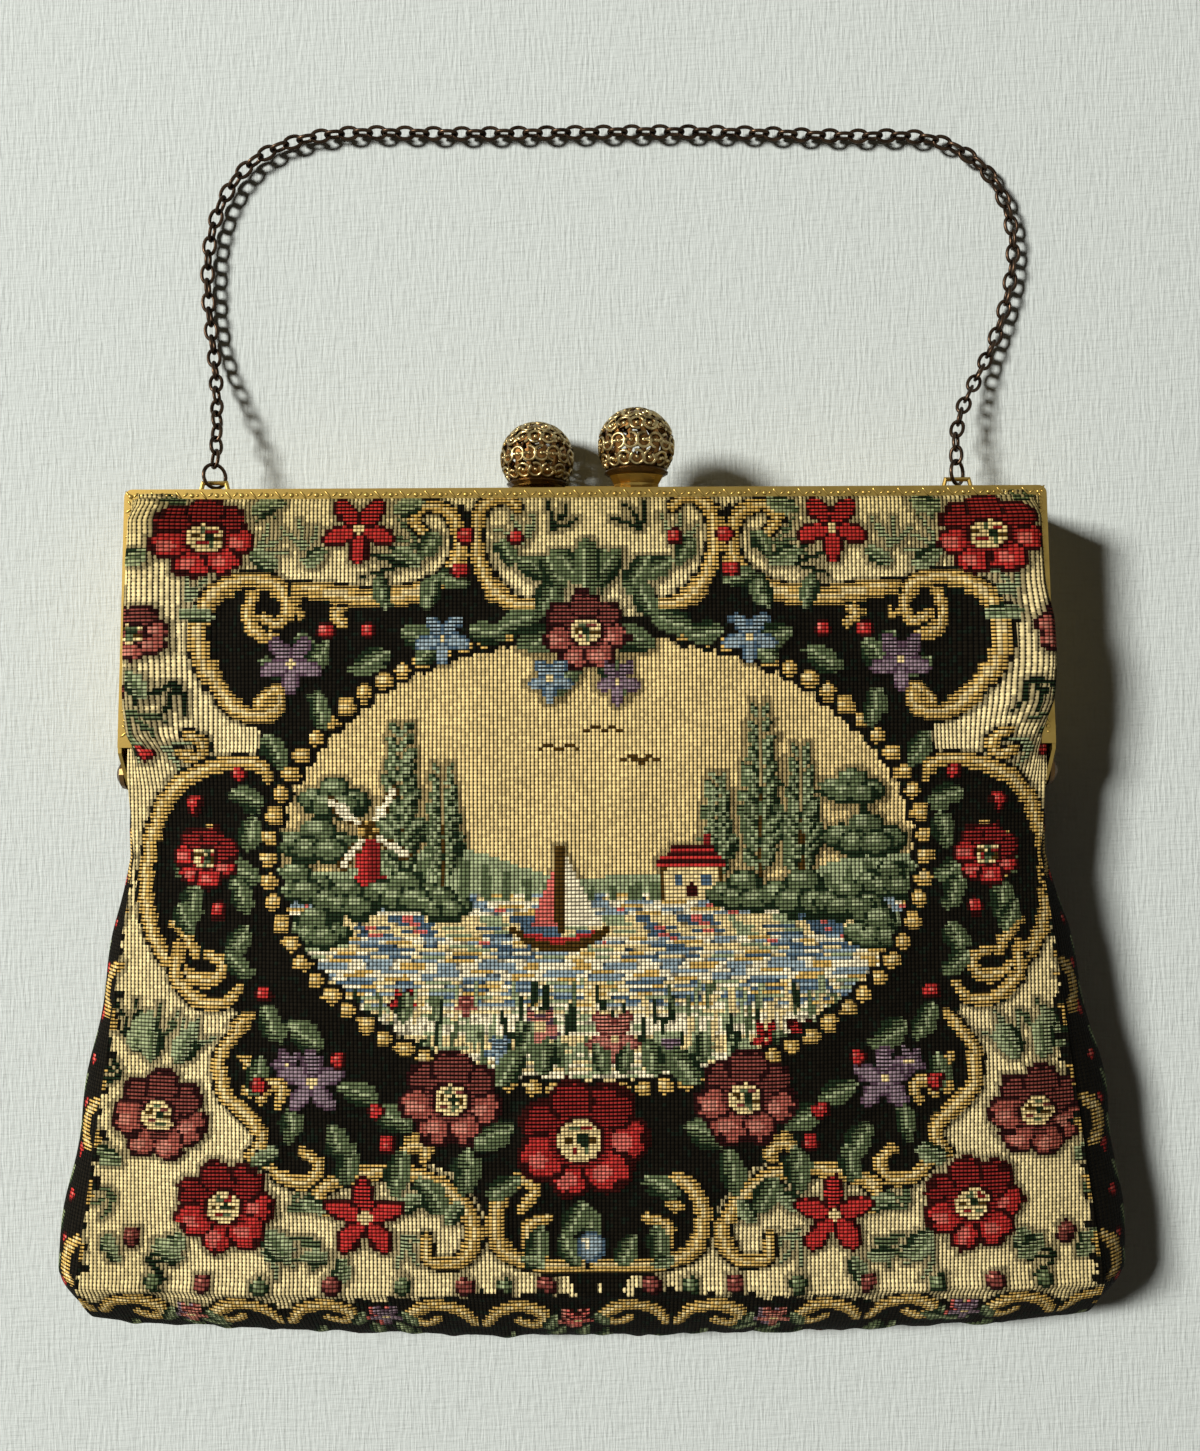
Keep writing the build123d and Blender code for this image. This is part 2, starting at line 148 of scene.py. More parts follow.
threads = {
    "cream": linear("#E6D39C"),
    "creamPale": linear("#F6EAC4"),
    "black": linear("#14110B"),
    "blackGreen": linear("#131A12"),
    "gold": linear("#CFAA5E"),
    "goldPale": linear("#E9D093"),
    "goldDark": linear("#4A3512"),
    "red": linear("#B8332F"),
    "redDeep": linear("#8C2825"),
    "redDark": linear("#34100D"),
    "redPale": linear("#D46A5E"),
    "dusk": linear("#7C4038"),
    "duskMid": linear("#A4574A"),
    "duskDark": linear("#2C1110"),
    "duskPale": linear("#C9806E"),
    "green": linear("#616E4C"),
    "greenDark": linear("#1F2D1B"),
    "greenPale": linear("#9BA67D"),
    "blue": linear("#506676"),
    "bluePale": linear("#90A2A8"),
    "mauve": linear("#5E4855"),
    "mauvePale": linear("#8C7881"),
    "sky": linear("#E0C687"),
    "skyPale": linear("#F3E2B2"),
}


# an empty piece of cloth to paint on, with the position of every stitch
def blankCloth(left, top, across, down, columns, rows, ground):
    x, y = np.meshgrid(left + (np.arange(columns) + 0.5) * across, top + (np.arange(rows) + 0.5) * down)
    rgb = np.empty((rows, columns, 3))
    rgb[:] = threads[ground]
    return {"x": x, "y": y, "rgb": rgb, "raised": np.zeros((rows, columns)),
            "left": left, "top": top, "across": across, "down": down}


# the part of the cloth around a box, which shares its stitches with the whole
def near(cloth, x1, y1, x2, y2):
    left, top = cloth["x"][0, 0], cloth["y"][0, 0]
    j1, j2 = int((x1 - left) / cloth["across"]), int((x2 - left) / cloth["across"]) + 2
    i1, i2 = int((y1 - top) / cloth["down"]), int((y2 - top) / cloth["down"]) + 2
    part = dict(cloth)
    for key in ("x", "y", "rgb", "raised"):
        part[key] = cloth[key][max(i1, 0):max(i2, 0), max(j1, 0):max(j2, 0)]
    return part


# raised is 0 for ribbed ground, 1 for level floats and 2 for hatched ones with black lines between
def fill(cloth, mask, thread, raised=1.0):
    cloth["rgb"][mask] = threads[thread]
    cloth["raised"][mask] = raised


def disc(cloth, x, y, wide, tall, thread, raised=1.0, turn=0.0):
    reach = max(wide, tall)
    cloth = near(cloth, x - reach, y - reach, x + reach, y + reach)
    dx, dy = cloth["x"] - x, cloth["y"] - y
    c, s = math.cos(math.radians(turn)), math.sin(math.radians(turn))
    inside = ((dx * c + dy * s) / wide) ** 2 + ((dy * c - dx * s) / tall) ** 2 < 1
    fill(cloth, inside, thread, raised)


def insideOutline(cloth, points):
    curve = through(list(points) + [points[0]], 4)
    x, y = cloth["x"], cloth["y"]
    inside = np.zeros(x.shape, bool)
    for (x1, y1), (x2, y2) in zip(curve[:-1], curve[1:]):
        if y1 != y2:
            crosses = ((y1 > y) != (y2 > y)) & (x < (x2 - x1) * (y - y1) / (y2 - y1) + x1)
            inside ^= crosses
    return inside


# a line of changing width through the points, as (x, y, half width)
def stroke(cloth, points, thread, raised=1.0, extra=0.0):
    curve = through(points, 5)
    reach = curve[:, 2].max() + extra
    low, high = curve.min(0) - reach, curve.max(0) + reach
    cloth = near(cloth, low[0], low[1], high[0], high[1])
    x, y = cloth["x"], cloth["y"]
    mask = np.zeros(x.shape, bool)
    for (x1, y1, w1), (x2, y2, w2) in zip(curve[:-1], curve[1:]):
        dx, dy = x2 - x1, y2 - y1
        length = math.hypot(dx, dy)
        t = np.clip(((x - x1) * dx + (y - y1) * dy) / max(length ** 2, 1e-6), 0, 1)
        reach = w1 + (w2 - w1) * t + extra
        mask |= (x - x1 - dx * t) ** 2 + (y - y1 - dy * t) ** 2 < reach ** 2
    fill(cloth, mask, thread, raised)


# a leaf has a dark half, a light half, a pale rib and hatching where they meet
def leaf(cloth, x, y, length, width, turn, dark="greenDark", light="green", rib="greenPale"):
    cloth = near(cloth, x - length, y - length, x + length, y + length)
    dx, dy = cloth["x"] - x, cloth["y"] - y
    c, s = math.cos(math.radians(turn)), math.sin(math.radians(turn))
    u, v = (dx * c + dy * s) / length, dy * c - dx * s
    edge = width * np.clip(4 * u * (1 - u), 0, None) ** 0.7
    inside = (u > 0) & (u < 1) & (abs(v) < edge)
    fill(cloth, inside & (v > 0), dark)
    fill(cloth, inside & (v <= 0), light)
    fill(cloth, inside & (v > 0) & (v < width * 0.5), light, 2.0)
    fill(cloth, inside & (abs(v + width * 0.1) < 1.8) & (u < 0.8), rib)


# a full rose: rounded petals, dusky above and bright below, round a pale ring with a speckled heart
def rose(cloth, x, y, size, tones, turn=0.0):
    dark, upper, lower, pale = tones
    for i in (0, 2, 4, 6, 1, 3, 5):
        a = math.radians(turn + 360 * i / 7)
        px, py = x + 0.66 * size * math.cos(a), y + 0.62 * size * math.sin(a)
        full = size * (1 + 0.1 * math.sin(2.4 * i + turn))
        disc(cloth, px, py, 0.39 * full, 0.37 * full, dark)
        if math.sin(a) > -0.25:
            disc(cloth, px, py, 0.31 * full, 0.29 * full, lower)
            disc(cloth, px - 0.08 * size, py + 0.04 * size, 0.15 * size, 0.13 * size, pale)
        else:
            disc(cloth, px, py, 0.31 * full, 0.29 * full, upper, 2.0)
        disc(cloth, x + 0.97 * size * math.cos(a), y + 0.92 * size * math.sin(a), 0.09 * size, 0.09 * size, dark)
    disc(cloth, x, y, 0.50 * size, 0.46 * size, upper, 2.0)
    disc(cloth, x, y, 0.40 * size, 0.37 * size, dark)
    disc(cloth, x - 1, y + 1, 0.34 * size, 0.32 * size, "goldPale")
    for i in range(6):
        a = math.radians(turn + 60 * i)
        seed = ("goldDark", "green", upper)[i % 3]
        disc(cloth, x + 0.2 * size * math.cos(a), y + 0.18 * size * math.sin(a), 2.6 + 0.03 * size, 2.6, seed)
    disc(cloth, x + 0.04 * size, y, 0.09 * size, 0.09 * size, "greenDark")


# a small star flower with five petals
def starFlower(cloth, x, y, size, dark, mid, turn=18.0):
    for i in range(5):
        a = math.radians(turn + 72 * i)
        px, py = x + 0.55 * size * math.cos(a), y + 0.55 * size * math.sin(a)
        disc(cloth, px, py, 0.52 * size, 0.30 * size, dark, 1, turn + 72 * i)
        disc(cloth, px, py, 0.44 * size, 0.21 * size, mid, 2 if math.sin(a) < -0.5 else 1, turn + 72 * i)
    disc(cloth, x, y, 0.16 * size, 0.16 * size, "goldPale")


def berry(cloth, x, y, size, dark="redDark", mid="red", pale="redPale"):
    disc(cloth, x, y, size, size, dark)
    disc(cloth, x - 1, y - 1, size * 0.75, size * 0.75, mid)
    disc(cloth, x - size * 0.3, y - size * 0.3, size * 0.3, size * 0.3, pale)


# a gold scroll has a combed edge on a dark line and a pale light along it
def scroll(cloth, points):
    stroke(cloth, points, "black", 0.35, 4.5)
    stroke(cloth, points, "gold", 2.0, 2.6)
    stroke(cloth, [(x, y, w * 0.72) for x, y, w in points], "gold", 1.0)
    stroke(cloth, [(x - 1, y - 1, w * 0.35) for x, y, w in points], "goldPale", 1.0)


roseRed = ("redDark", "redDeep", "red", "redPale")
roseDusk = ("duskDark", "dusk", "duskMid", "duskPale")
middle = 597.0  # the pattern mirrors about this line

blackGround = [
    (598, 628), (545, 624), (505, 612), (487, 592), (480, 560), (474, 526), (464, 512), (455, 524),
    (462, 548), (456, 575), (430, 597), (380, 606), (330, 596), (286, 588), (246, 592), (216, 610),
    (206, 645), (212, 688), (230, 716), (262, 736), (258, 764), (226, 774), (182, 788), (160, 815),
    (147, 855), (142, 900), (150, 950), (170, 984), (206, 1000), (234, 1012), (240, 1036), (224, 1062),
    (230, 1100), (258, 1124), (262, 1152), (288, 1180), (332, 1188), (385, 1172), (424, 1166), (456, 1180),
    (482, 1214), (498, 1246), (512, 1262), (560, 1274), (598, 1276),
]

goldScrolls = [
    [(262, 712, 3), (280, 700, 4), (278, 718, 5), (252, 722, 6), (226, 704, 6), (210, 672, 6), (205, 636, 6),
     (215, 606, 6), (244, 590, 6), (276, 594, 6), (292, 612, 5), (284, 632, 4), (266, 626, 3)],
    [(300, 598, 3), (330, 602, 5), (380, 608, 6), (428, 600, 6), (457, 577, 6), (463, 548, 6), (452, 522, 5),
     (428, 514, 4), (416, 530, 4), (430, 546, 3)],
    [(520, 516, 3), (506, 504, 4), (484, 516, 5), (478, 545, 5), (484, 578, 6), (500, 604, 6), (530, 616, 5),
     (548, 606, 4)],
    [(270, 786, 3), (262, 772, 4), (226, 772, 5), (186, 788, 6), (160, 818, 6), (147, 860, 6), (144, 908, 6),
     (158, 954, 6), (188, 982, 6), (214, 986, 5), (224, 970, 4), (208, 960, 3)],
    [(178, 952, 3), (176, 984, 5), (200, 1008, 5), (228, 1008, 4), (240, 994, 3)],
    [(250, 1024, 3), (238, 1036, 4), (222, 1062, 5), (226, 1098, 6), (250, 1122, 6), (262, 1142, 5),
     (252, 1160, 4)],
    [(262, 1160, 3), (282, 1182, 5), (310, 1186, 5), (318, 1166, 4), (304, 1154, 3)],
    [(336, 1214, 3), (322, 1214, 4), (322, 1194, 5), (350, 1180, 6), (392, 1174, 6), (430, 1182, 6),
     (462, 1208, 6), (474, 1240, 6), (458, 1266, 5), (430, 1264, 4), (426, 1244, 3)],
    [(520, 1212, 3), (534, 1194, 4), (518, 1182, 5), (500, 1202, 6), (494, 1236, 6), (510, 1260, 6),
     (550, 1270, 6), (600, 1270, 5)],
]

# small hooks that hang inside the black ground
goldHooks = [
    [(283, 632, 3), (272, 646, 4), (258, 640, 5), (252, 620, 5), (258, 600, 4)],
    [(302, 624, 3), (293, 612, 5), (302, 600, 4)],
    [(348, 634, 3), (339, 624, 5), (348, 611, 4)],
    [(196, 742, 3), (206, 752, 4), (200, 766, 4), (186, 760, 3)],
    [(216, 836, 3), (196, 842, 4), (186, 862, 5), (190, 882, 4)],
    [(196, 962, 3), (188, 944, 4), (176, 930, 4)],
    [(262, 1104, 3), (270, 1088, 5), (284, 1094, 4), (280, 1108, 3)],
    [(246, 1064, 3), (256, 1078, 5), (250, 1096, 4)],
    [(402, 1158, 3), (414, 1146, 5), (428, 1152, 4), (424, 1164, 3)],
    [(548, 1222, 3), (528, 1230, 4), (528, 1248, 4)],
]

leaves = [
    (300, 640, 42, 12, 60), (330, 650, 40, 12, 120), (262, 668, 36, 10, 30), (318, 700, 40, 12, 75),
    (392, 660, 44, 13, 150), (402, 640, 46, 13, 20), (420, 672, 40, 12, -40), (470, 640, 40, 12, 10),
    (500, 640, 46, 14, -20), (428, 618, 36, 10, -70), (392, 618, 34, 10, -110), (470, 596, 34, 11, 200),
    (268, 742, 40, 12, 60), (232, 800, 40, 12, 20), (256, 820, 40, 12, 100), (186, 850, 36, 10, 100),
    (226, 868, 42, 12, 30), (196, 890, 44, 13, 100), (236, 884, 40, 12, 70), (176, 910, 36, 10, 60),
    (250, 930, 38, 12, 120), (226, 960, 36, 11, 40), (262, 1010, 42, 12, 60), (262, 1060, 40, 12, 100),
    (290, 1030, 44, 13, 30), (340, 1090, 44, 13, 20), (330, 1130, 44, 13, 60), (372, 1110, 48, 14, 30),
    (404, 1150, 50, 14, 100), (420, 1180, 46, 14, 60), (352, 1150, 40, 12, 100), (296, 1110, 38, 11, 100),
    (470, 1150, 50, 14, 100), (512, 1130, 46, 14, 160), (540, 1230, 40, 12, 100), (560, 1240, 36, 11, 60),
    (500, 1090, 46, 14, -60), (540, 1080, 40, 12, -80), (440, 540, 34, 10, 120), (500, 548, 34, 10, 60),
    (520, 570, 40, 12, 30), (560, 590, 44, 13, 120), (545, 566, 42, 12, 60), (588, 560, 46, 14, 70),
]

borderLeaves = [
    (252, 520, 34, 10, -20), (170, 560, 34, 10, 160), (250, 560, 36, 10, 30), (150, 606, 34, 11, 190),
    (190, 620, 30, 9, 10), (150, 680, 34, 10, 60), (148, 740, 30, 9, 100), (330, 500, 30, 9, -30),
    (395, 520, 34, 10, -20), (395, 560, 34, 10, 30), (330, 560, 30, 9, 150), (128, 1060, 46, 13, -60),
    (150, 1070, 46, 13, -90), (175, 1070, 46, 13, -60), (120, 1170, 36, 10, 200), (250, 1170, 36, 10, -30),
    (180, 1240, 36, 10, 120), (262, 1240, 40, 12, 40), (150, 1250, 34, 10, 30), (300, 1262, 30, 9, 0),
    (345, 1262, 34, 10, 110), (392, 1216, 34, 10, -30), (330, 1216, 30, 9, 200), (100, 1245, 30, 9, 60),
    (520, 1262, 26, 8, 20), (445, 1230, 30, 9, -60),
]


# thin hatched blades fanned from one foot, as (x, y, length, turn)
sprigs = [
    (188, 512, 34, -120), (258, 560, 36, -30), (146, 560, 34, 200), (262, 500, 30, 60), (306, 560, 34, -100),
    (404, 576, 40, 200), (420, 556, 36, -160), (524, 556, 34, -110), (552, 540, 30, -60), (140, 606, 32, 100),
    (196, 606, 30, -60), (186, 690, 34, 110), (150, 716, 34, 60), (168, 756, 30, 20), (124, 1044, 36, -110),
    (150, 1050, 40, -80), (182, 1056, 36, -60), (118, 1084, 34, 200), (110, 1200, 34, 150), (262, 1256, 34, 30),
    (140, 1266, 30, 10), (320, 1250, 30, 150), (400, 1240, 34, 60), (440, 1200, 30, 200), (290, 1216, 30, -40),
]


def sprig(cloth, x, y, length, turn, thread):
    for lean in (-36, 0, 36):
        a = math.radians(turn + lean)
        tip = (x + length * math.cos(a), y + length * math.sin(a))
        stroke(cloth, [(x, y, 1.6), ((x + tip[0]) / 2 + 3, (y + tip[1]) / 2, 2.6), (*tip, 1.4)], thread, 2.0)


# the cream border, the black ground, the scrolls and the flowers, all mirrored left to right
def paintTapestry(cloth):
    for flip in (1, -1):
        def m(x):
            return middle + flip * (x - middle)

        fill(cloth, insideOutline(cloth, [(m(x), y) for x, y in blackGround]), "black", 0.35)
    paintPicture(cloth)
    a = np.linspace(0, 2 * math.pi, 400)
    ring = evenly(np.column_stack([middle + 326 * np.cos(a), 866 + 229 * np.sin(a)]), 81)[0][:-1]
    beadPlaces = [(x, y) for x, y in ring if abs(x - middle) > 78 or y > 800]
    for x, y in beadPlaces:
        disc(cloth, x, y, 14, 13, "black", 0.3)
    for x, y in beadPlaces:
        disc(cloth, x, y, 8.6, 8.2, "gold", 2.0)
        disc(cloth, x - 1, y - 2, 7, 5.5, "gold")
        disc(cloth, x - 2, y - 2, 4, 3, "goldPale")
    for flip in (1, -1):
        def m(x):
            return middle + flip * (x - middle)

        for i, (x, y, length, turn) in enumerate(sprigs):
            sprig(cloth, m(x), y, length, turn if flip > 0 else 180 - turn, ("green", "greenPale", "greenDark")[i % 3])
        for points in goldHooks + goldScrolls:
            scroll(cloth, [(m(x), y, w) for x, y, w in points])
        for x, y, length, width, turn in leaves:
            leaf(cloth, m(x), y, length, width, turn if flip > 0 else 180 - turn)
        for x, y, length, width, turn in borderLeaves:
            leaf(cloth, m(x), y, length, width, turn if flip > 0 else 180 - turn, "greenDark", "greenPale", "green")
        rose(cloth, m(212), 545, 44, roseRed, 10)
        rose(cloth, m(155), 640, 30, roseDusk, 40)
        rose(cloth, m(158), 1122, 48, roseDusk, 20)
        rose(cloth, m(224), 1212, 50, roseRed, 0)
        rose(cloth, m(452), 1102, 50, roseDusk, 15)
        starFlower(cloth, m(362), 538, 36, "redDark", "red")
        starFlower(cloth, m(364), 1222, 40, "redDark", "red", 54)
        rose(cloth, m(207), 864, 34, roseRed, 30)
        starFlower(cloth, m(294), 672, 30, "mauve", "mauvePale")
        starFlower(cloth, m(314), 1086, 32, "mauve", "mauvePale", 54)
        starFlower(cloth, m(446), 648, 26, "blue", "bluePale")
        starFlower(cloth, m(290), 1068, 16, "mauve", "mauvePale", 30)
        for x, y in ((330, 640), (372, 640), (242, 782), (196, 812), (220, 918), (266, 1000), (340, 1064),
                     (262, 1090), (378, 1116), (388, 1148), (468, 546), (518, 548), (150, 760), (462, 582)):
            berry(cloth, m(x), y, 9)
        for x, y in ((140, 700), (128, 1245), (200, 1290), (330, 1290), (462, 1290), (545, 1290)):
            berry(cloth, m(x), y, 10, "duskDark", "dusk", "duskPale")
        for x, y in ((400, 1290), (258, 1292), (150, 1290), (505, 1292)):
            berry(cloth, m(x), y, 9, "greenDark", "green", "greenPale")
    for x, y, length, width, turn in ((590, 600, 50, 14, -50), (586, 596, 48, 14, -130), (588, 602, 54, 14, -90),
                                      (596, 640, 62, 15, 15), (580, 640, 62, 15, 165), (600, 664, 50, 13, 60),
                                      (580, 664, 50, 13, 120)):
        leaf(cloth, x, y, length, width, turn)
    rose(cloth, 587, 642, 42, roseDusk, 10)
    starFlower(cloth, 552, 690, 22, "blue", "bluePale")
    starFlower(cloth, 618, 692, 22, "mauve", "mauvePale")
    rose(cloth, 580, 1142, 64, roseRed, 0)
    for x, y, length, width, turn in ((575, 1205, 44, 13, 60), (585, 1205, 44, 13, 120), (520, 1180, 40, 12, 150),
                                      (640, 1180, 40, 12, 30)):
        leaf(cloth, x, y, length, width, turn)
    berry(cloth, 590, 1252, 14, "blue", "bluePale", "creamPale")
    paintRepeat(cloth)


# below the crease the cloth runs on: cream teeth, then the next repeat's scrolls and flowers on black
def paintRepeat(cloth):
    x, y = cloth["x"], cloth["y"]
    rows, columns = x.shape
    comb = np.repeat(rng.random(columns // 2 + 1), 2)[:columns]
    fill(cloth, y > 1303 + 10 * comb - 13 * np.cos((x - middle) / 150), "black", 0.35)
    for i in range(12):
        at = 34 + 98 * i
        flip = 1 if i % 2 else -1
        scroll(cloth, [(at - flip * 44, 1340, 3), (at - flip * 30, 1318, 4), (at, 1312, 5), (at + flip * 20, 1326, 5),
                       (at + flip * 8, 1340, 4), (at - flip * 6, 1332, 3)])
        tones = (("redDark", "redPale"), ("mauve", "mauvePale"), ("dusk", "duskPale"))[i % 3]
        starFlower(cloth, at + flip * 46, 1330, 17, *tones)
        leaf(cloth, at + flip * 30, 1322, 30, 8, 60 + 50 * (i % 2))
        leaf(cloth, at + flip * 60, 1344, 30, 8, 20 * i)
        leaf(cloth, at - 14, 1356, 30, 8, 120)
        leaf(cloth, at - 32, 1392, 42, 12, 30 * i)
        leaf(cloth, at + 62, 1412, 42, 12, 160)
        berry(cloth, at - 18, 1428, 8)
        if i % 2:
            rose(cloth, at + 20, 1400, 26, roseDusk, 20 * i)
        else:
            starFlower(cloth, at + 20, 1400, 25, "redDark", "red", 30 * i)
    edge = 587 - frontSettings["pxPerMm"] * halfWidth(pouch["top"] - (y - 488) / frontSettings["pxPerMm"])
    for flip in (1, -1):
        inward = x - edge if flip > 0 else (2 * 587 - edge) - x
        teeth = np.repeat(rng.random(rows // 2 + 1), 2)[:rows, None]
        reach = 2 + 13 * teeth ** 1.5 * np.clip((y - 900) / 160, 0.15, 1)
        seam = (y > 880) & (y < 1300) & (inward < reach)
        fill(cloth, seam, "black", 0.35)
        fill(cloth, seam & (inward < 6) & (np.sin(y / 9) > 0.2), "gold", 2.0)


# dark binding stitches with painted shade round each raised motif, speckles in the black, painted shade that darkens
# and browns the cloth towards the top edge and a little towards the bottom, and a darker tone towards the left and
# right edges
def finishCloth(cloth):
    raised, rgb = np.minimum(cloth["raised"], 1), cloth["rgb"]
    around = np.max([np.roll(np.roll(raised, i, 0), j, 1) for i in (-1, 0, 1) for j in (-1, 0, 1)], axis=0)
    # dark binding stitches and painted shade: ground stitches right beside a raised motif are darkened
    rgb[(around - raised > 0.5) & (raised < 0.3)] *= 0.42
    specks = (rgb.sum(2) < 0.03) & (rng.random(raised.shape) > 0.86)
    rgb[specks] = threads["blackGreen"]
    # painted shade: the cloth is darker and browner towards the top edge and a little darker towards the bottom
    paintedShade = np.clip((610 - cloth["y"]) / 120, 0, 1) * 0.36 + np.clip((cloth["y"] - 1180) / 160, 0, 1) * 0.06
    side = np.clip((abs(cloth["x"] - 587) - 400) / 60, 0, 1) * 0.12
    tint = np.array([1.0, 1.12, 1.6])
    rgb *= 1 - (paintedShade + side)[..., None] * tint * 0.8


# a lakeside picture in the medallion: water, far hills, trees, a windmill, a cottage and a sail
def paintPicture(cloth):
    x, y = cloth["x"], cloth["y"]
    inside = ((x - middle) / 318) ** 2 + ((y - 866) / 221) ** 2 < 1
    horizon = 902
    fill(cloth, inside, "sky", 0.12)
    streak = rng.random(x.shape[0])
    for row in range(x.shape[0]):
        at = y[row, 0]
        spans = np.sin(x[row] * 0.045 + 9 * streak[row]) + np.sin(x[row] * 0.11 + 30 * streak[row])
        here = inside[row]
        if horizon < at < 1012:
            tones = ("gold", "bluePale", "creamPale") if streak[row] > 0.5 else ("greenPale", "blue", "goldPale")
            cloth["rgb"][row, here] = threads[tones[2]]
            cloth["raised"][row, here] = 0.6
            cloth["rgb"][row, here & (spans > 0.25)] = threads[tones[1]]
            cloth["rgb"][row, here & (spans < -1.0)] = threads[tones[0]]
            cloth["rgb"][row, here & (spans > 1.7) & (at < 950)] = threads["redPale"]
            cloth["rgb"][row, here & (abs(spans - 0.25) < 0.07)] *= 0.35
        if at >= 1012:
            cloth["rgb"][row, here] = threads["creamPale" if streak[row] > 0.5 else "goldPale"]
            cloth["raised"][row, here] = 0.5
            cloth["rgb"][row, here & (spans > 0.9)] = threads["greenPale"]
            cloth["rgb"][row, here & (abs(spans) < 0.1)] *= 0.4
    hills = horizon - 26 - 14 * np.sin((x - 300) * 0.012) - 8 * np.sin(x * 0.031)
    fill(cloth, inside & (y > hills) & (y < horizon), "greenPale", 0.5)
    fill(cloth, inside & (y > hills + 10) & (y < horizon + 4) & (np.sin(x * 0.3) > 0.2), "green", 0.7)
    birds(cloth)
    for tx, tall, wide in ((404, 176, 26), (446, 130, 22), (716, 120, 20), (758, 196, 26), (798, 150, 24)):
        poplar(cloth, tx, horizon - 6, tall, wide)
    for tx, ty, size in ((322, 850, 40), (338, 808, 34), (300, 892, 36), (862, 846, 40), (850, 800, 32), (888, 892, 34)):
        bush(cloth, tx, ty, size)
    windmill(cloth, 372, 836, 30, 66)
    cottage(cloth, 690, 874, 60, 34)
    for bx, by, size in ((352, 908, 34), (408, 900, 38), (446, 912, 28), (742, 902, 36), (800, 904, 42), (846, 912, 34),
                         (318, 936, 34), (876, 940, 34)):
        bush(cloth, bx, by, size)
    sail(cloth, 560, 930)
    reeds(cloth, inside)
    for fx, fy, size, tones in ((405, 1006, 15, ("redDark", "red")), (468, 1010, 11, ("dusk", "duskPale")),
                                (540, 1030, 19, ("mauve", "duskPale")), (612, 1040, 26, ("dusk", "duskPale")),
                                (762, 1042, 16, ("redDark", "red")), (796, 1040, 15, ("redDark", "red")),
                                (668, 1052, 14, ("mauve", "mauvePale")), (500, 1052, 15, ("blue", "bluePale"))):
        starFlower(cloth, fx, fy, size, *tones)
    for fx, fy, turn in ((520, 1058, 80), (534, 1060, 110), (596, 1078, 75), (626, 1080, 105), (772, 1066, 70),
                         (410, 1030, 100), (650, 1078, 60), (560, 1074, 120), (700, 1066, 90)):
        leaf(cloth, fx, fy - 34, 34, 9, turn)


# a few birds as short dark strokes in the sky
def birds(cloth):
    for bx, by in ((560, 760), (604, 742), (640, 772)):
        for flip in (1, -1):
            stroke(cloth, [(bx, by, 2), (bx + flip * 8, by - 6, 2), (bx + flip * 17, by - 3, 1.5)], "goldDark", 0.6)


# a tapered red tower with a gold cap and four cream sails
def windmill(cloth, x, y, wide, tall):
    up = (cloth["y"] - y) / tall
    tower = (up > 0) & (up < 1) & (abs(cloth["x"] - x) < wide * (0.3 + 0.25 * up))
    fill(cloth, tower, "redDeep")
    fill(cloth, tower & (cloth["x"] < x), "red")
    disc(cloth, x, y, wide * 0.36, wide * 0.3, "gold")
    for turn in (35, 125, 215, 305):
        a = math.radians(turn)
        tip = (x + 44 * math.cos(a), y + 44 * math.sin(a))
        stroke(cloth, [(x, y, 2.5), (*tip, 6)], "goldDark")
        stroke(cloth, [(x + 14 * math.cos(a), y + 14 * math.sin(a), 3), (*tip, 4)], "creamPale")


# upward-sweeping tufts on a thin trunk
def poplar(cloth, x, foot, tall, wide):
    stroke(cloth, [(x, foot, 2.5), (x, foot - tall * 0.5, 2)], "goldDark", 0.8)
    for i in range(10):
        up = foot - tall * (0.1 + 0.085 * i)
        reach = wide * (1 - 0.065 * i) * (0.7 if i == 0 else 1)
        for flip in (1, -1):
            sweep = 58 + 7 * math.sin(2.3 * i + flip)
            turn = -sweep if flip > 0 else sweep - 180
            leaf(cloth, x + flip * 2, up, reach * 1.5, reach * 0.38, turn)


# a low cream house with a red roof, a dark door and a chimney
def cottage(cloth, x, y, wide, tall):
    front = (abs(cloth["x"] - x) < wide / 2) & (cloth["y"] > y) & (cloth["y"] < y + tall)
    fill(cloth, front, "goldPale")
    fill(cloth, front & (abs(cloth["x"] - x) > wide / 2 - 4), "goldDark")
    for dx, high, size, thread in ((-14, 0.4, 5, "blue"), (14, 0.4, 5, "blue"), (0, 0.7, 6, "redDark")):
        disc(cloth, x + dx, y + tall * high, size, size * 1.2, thread)
    fill(cloth, (abs(cloth["x"] - x - 14) < 5) & (cloth["y"] > y - tall) & (cloth["y"] < y), "redDeep")
    drop = (cloth["y"] - (y - tall * 0.62)) / (tall * 0.62)
    roof = (drop > 0) & (drop < 1) & (abs(cloth["x"] - x) < wide * (0.34 + 0.26 * drop))
    fill(cloth, roof, "red")
    fill(cloth, roof & ((cloth["y"] / 8) % 1 > 0.6), "redDark")


# a round tree or bush made of overlapping tufts
def bush(cloth, x, y, size):
    for dx, dy in ((-0.6, 0), (0.6, 0.1), (0, -0.5), (-0.25, 0.25), (0.3, 0.3)):
        disc(cloth, x + dx * size, y + dy * size * 0.6, size * 0.48, size * 0.36, "greenDark")
        disc(cloth, x + dx * size - 2, y + dy * size * 0.6 - 2, size * 0.38, size * 0.27, "green")
        disc(cloth, x + dx * size - 4, y + dy * size * 0.6 - 6, size * 0.18, size * 0.12, "greenPale")


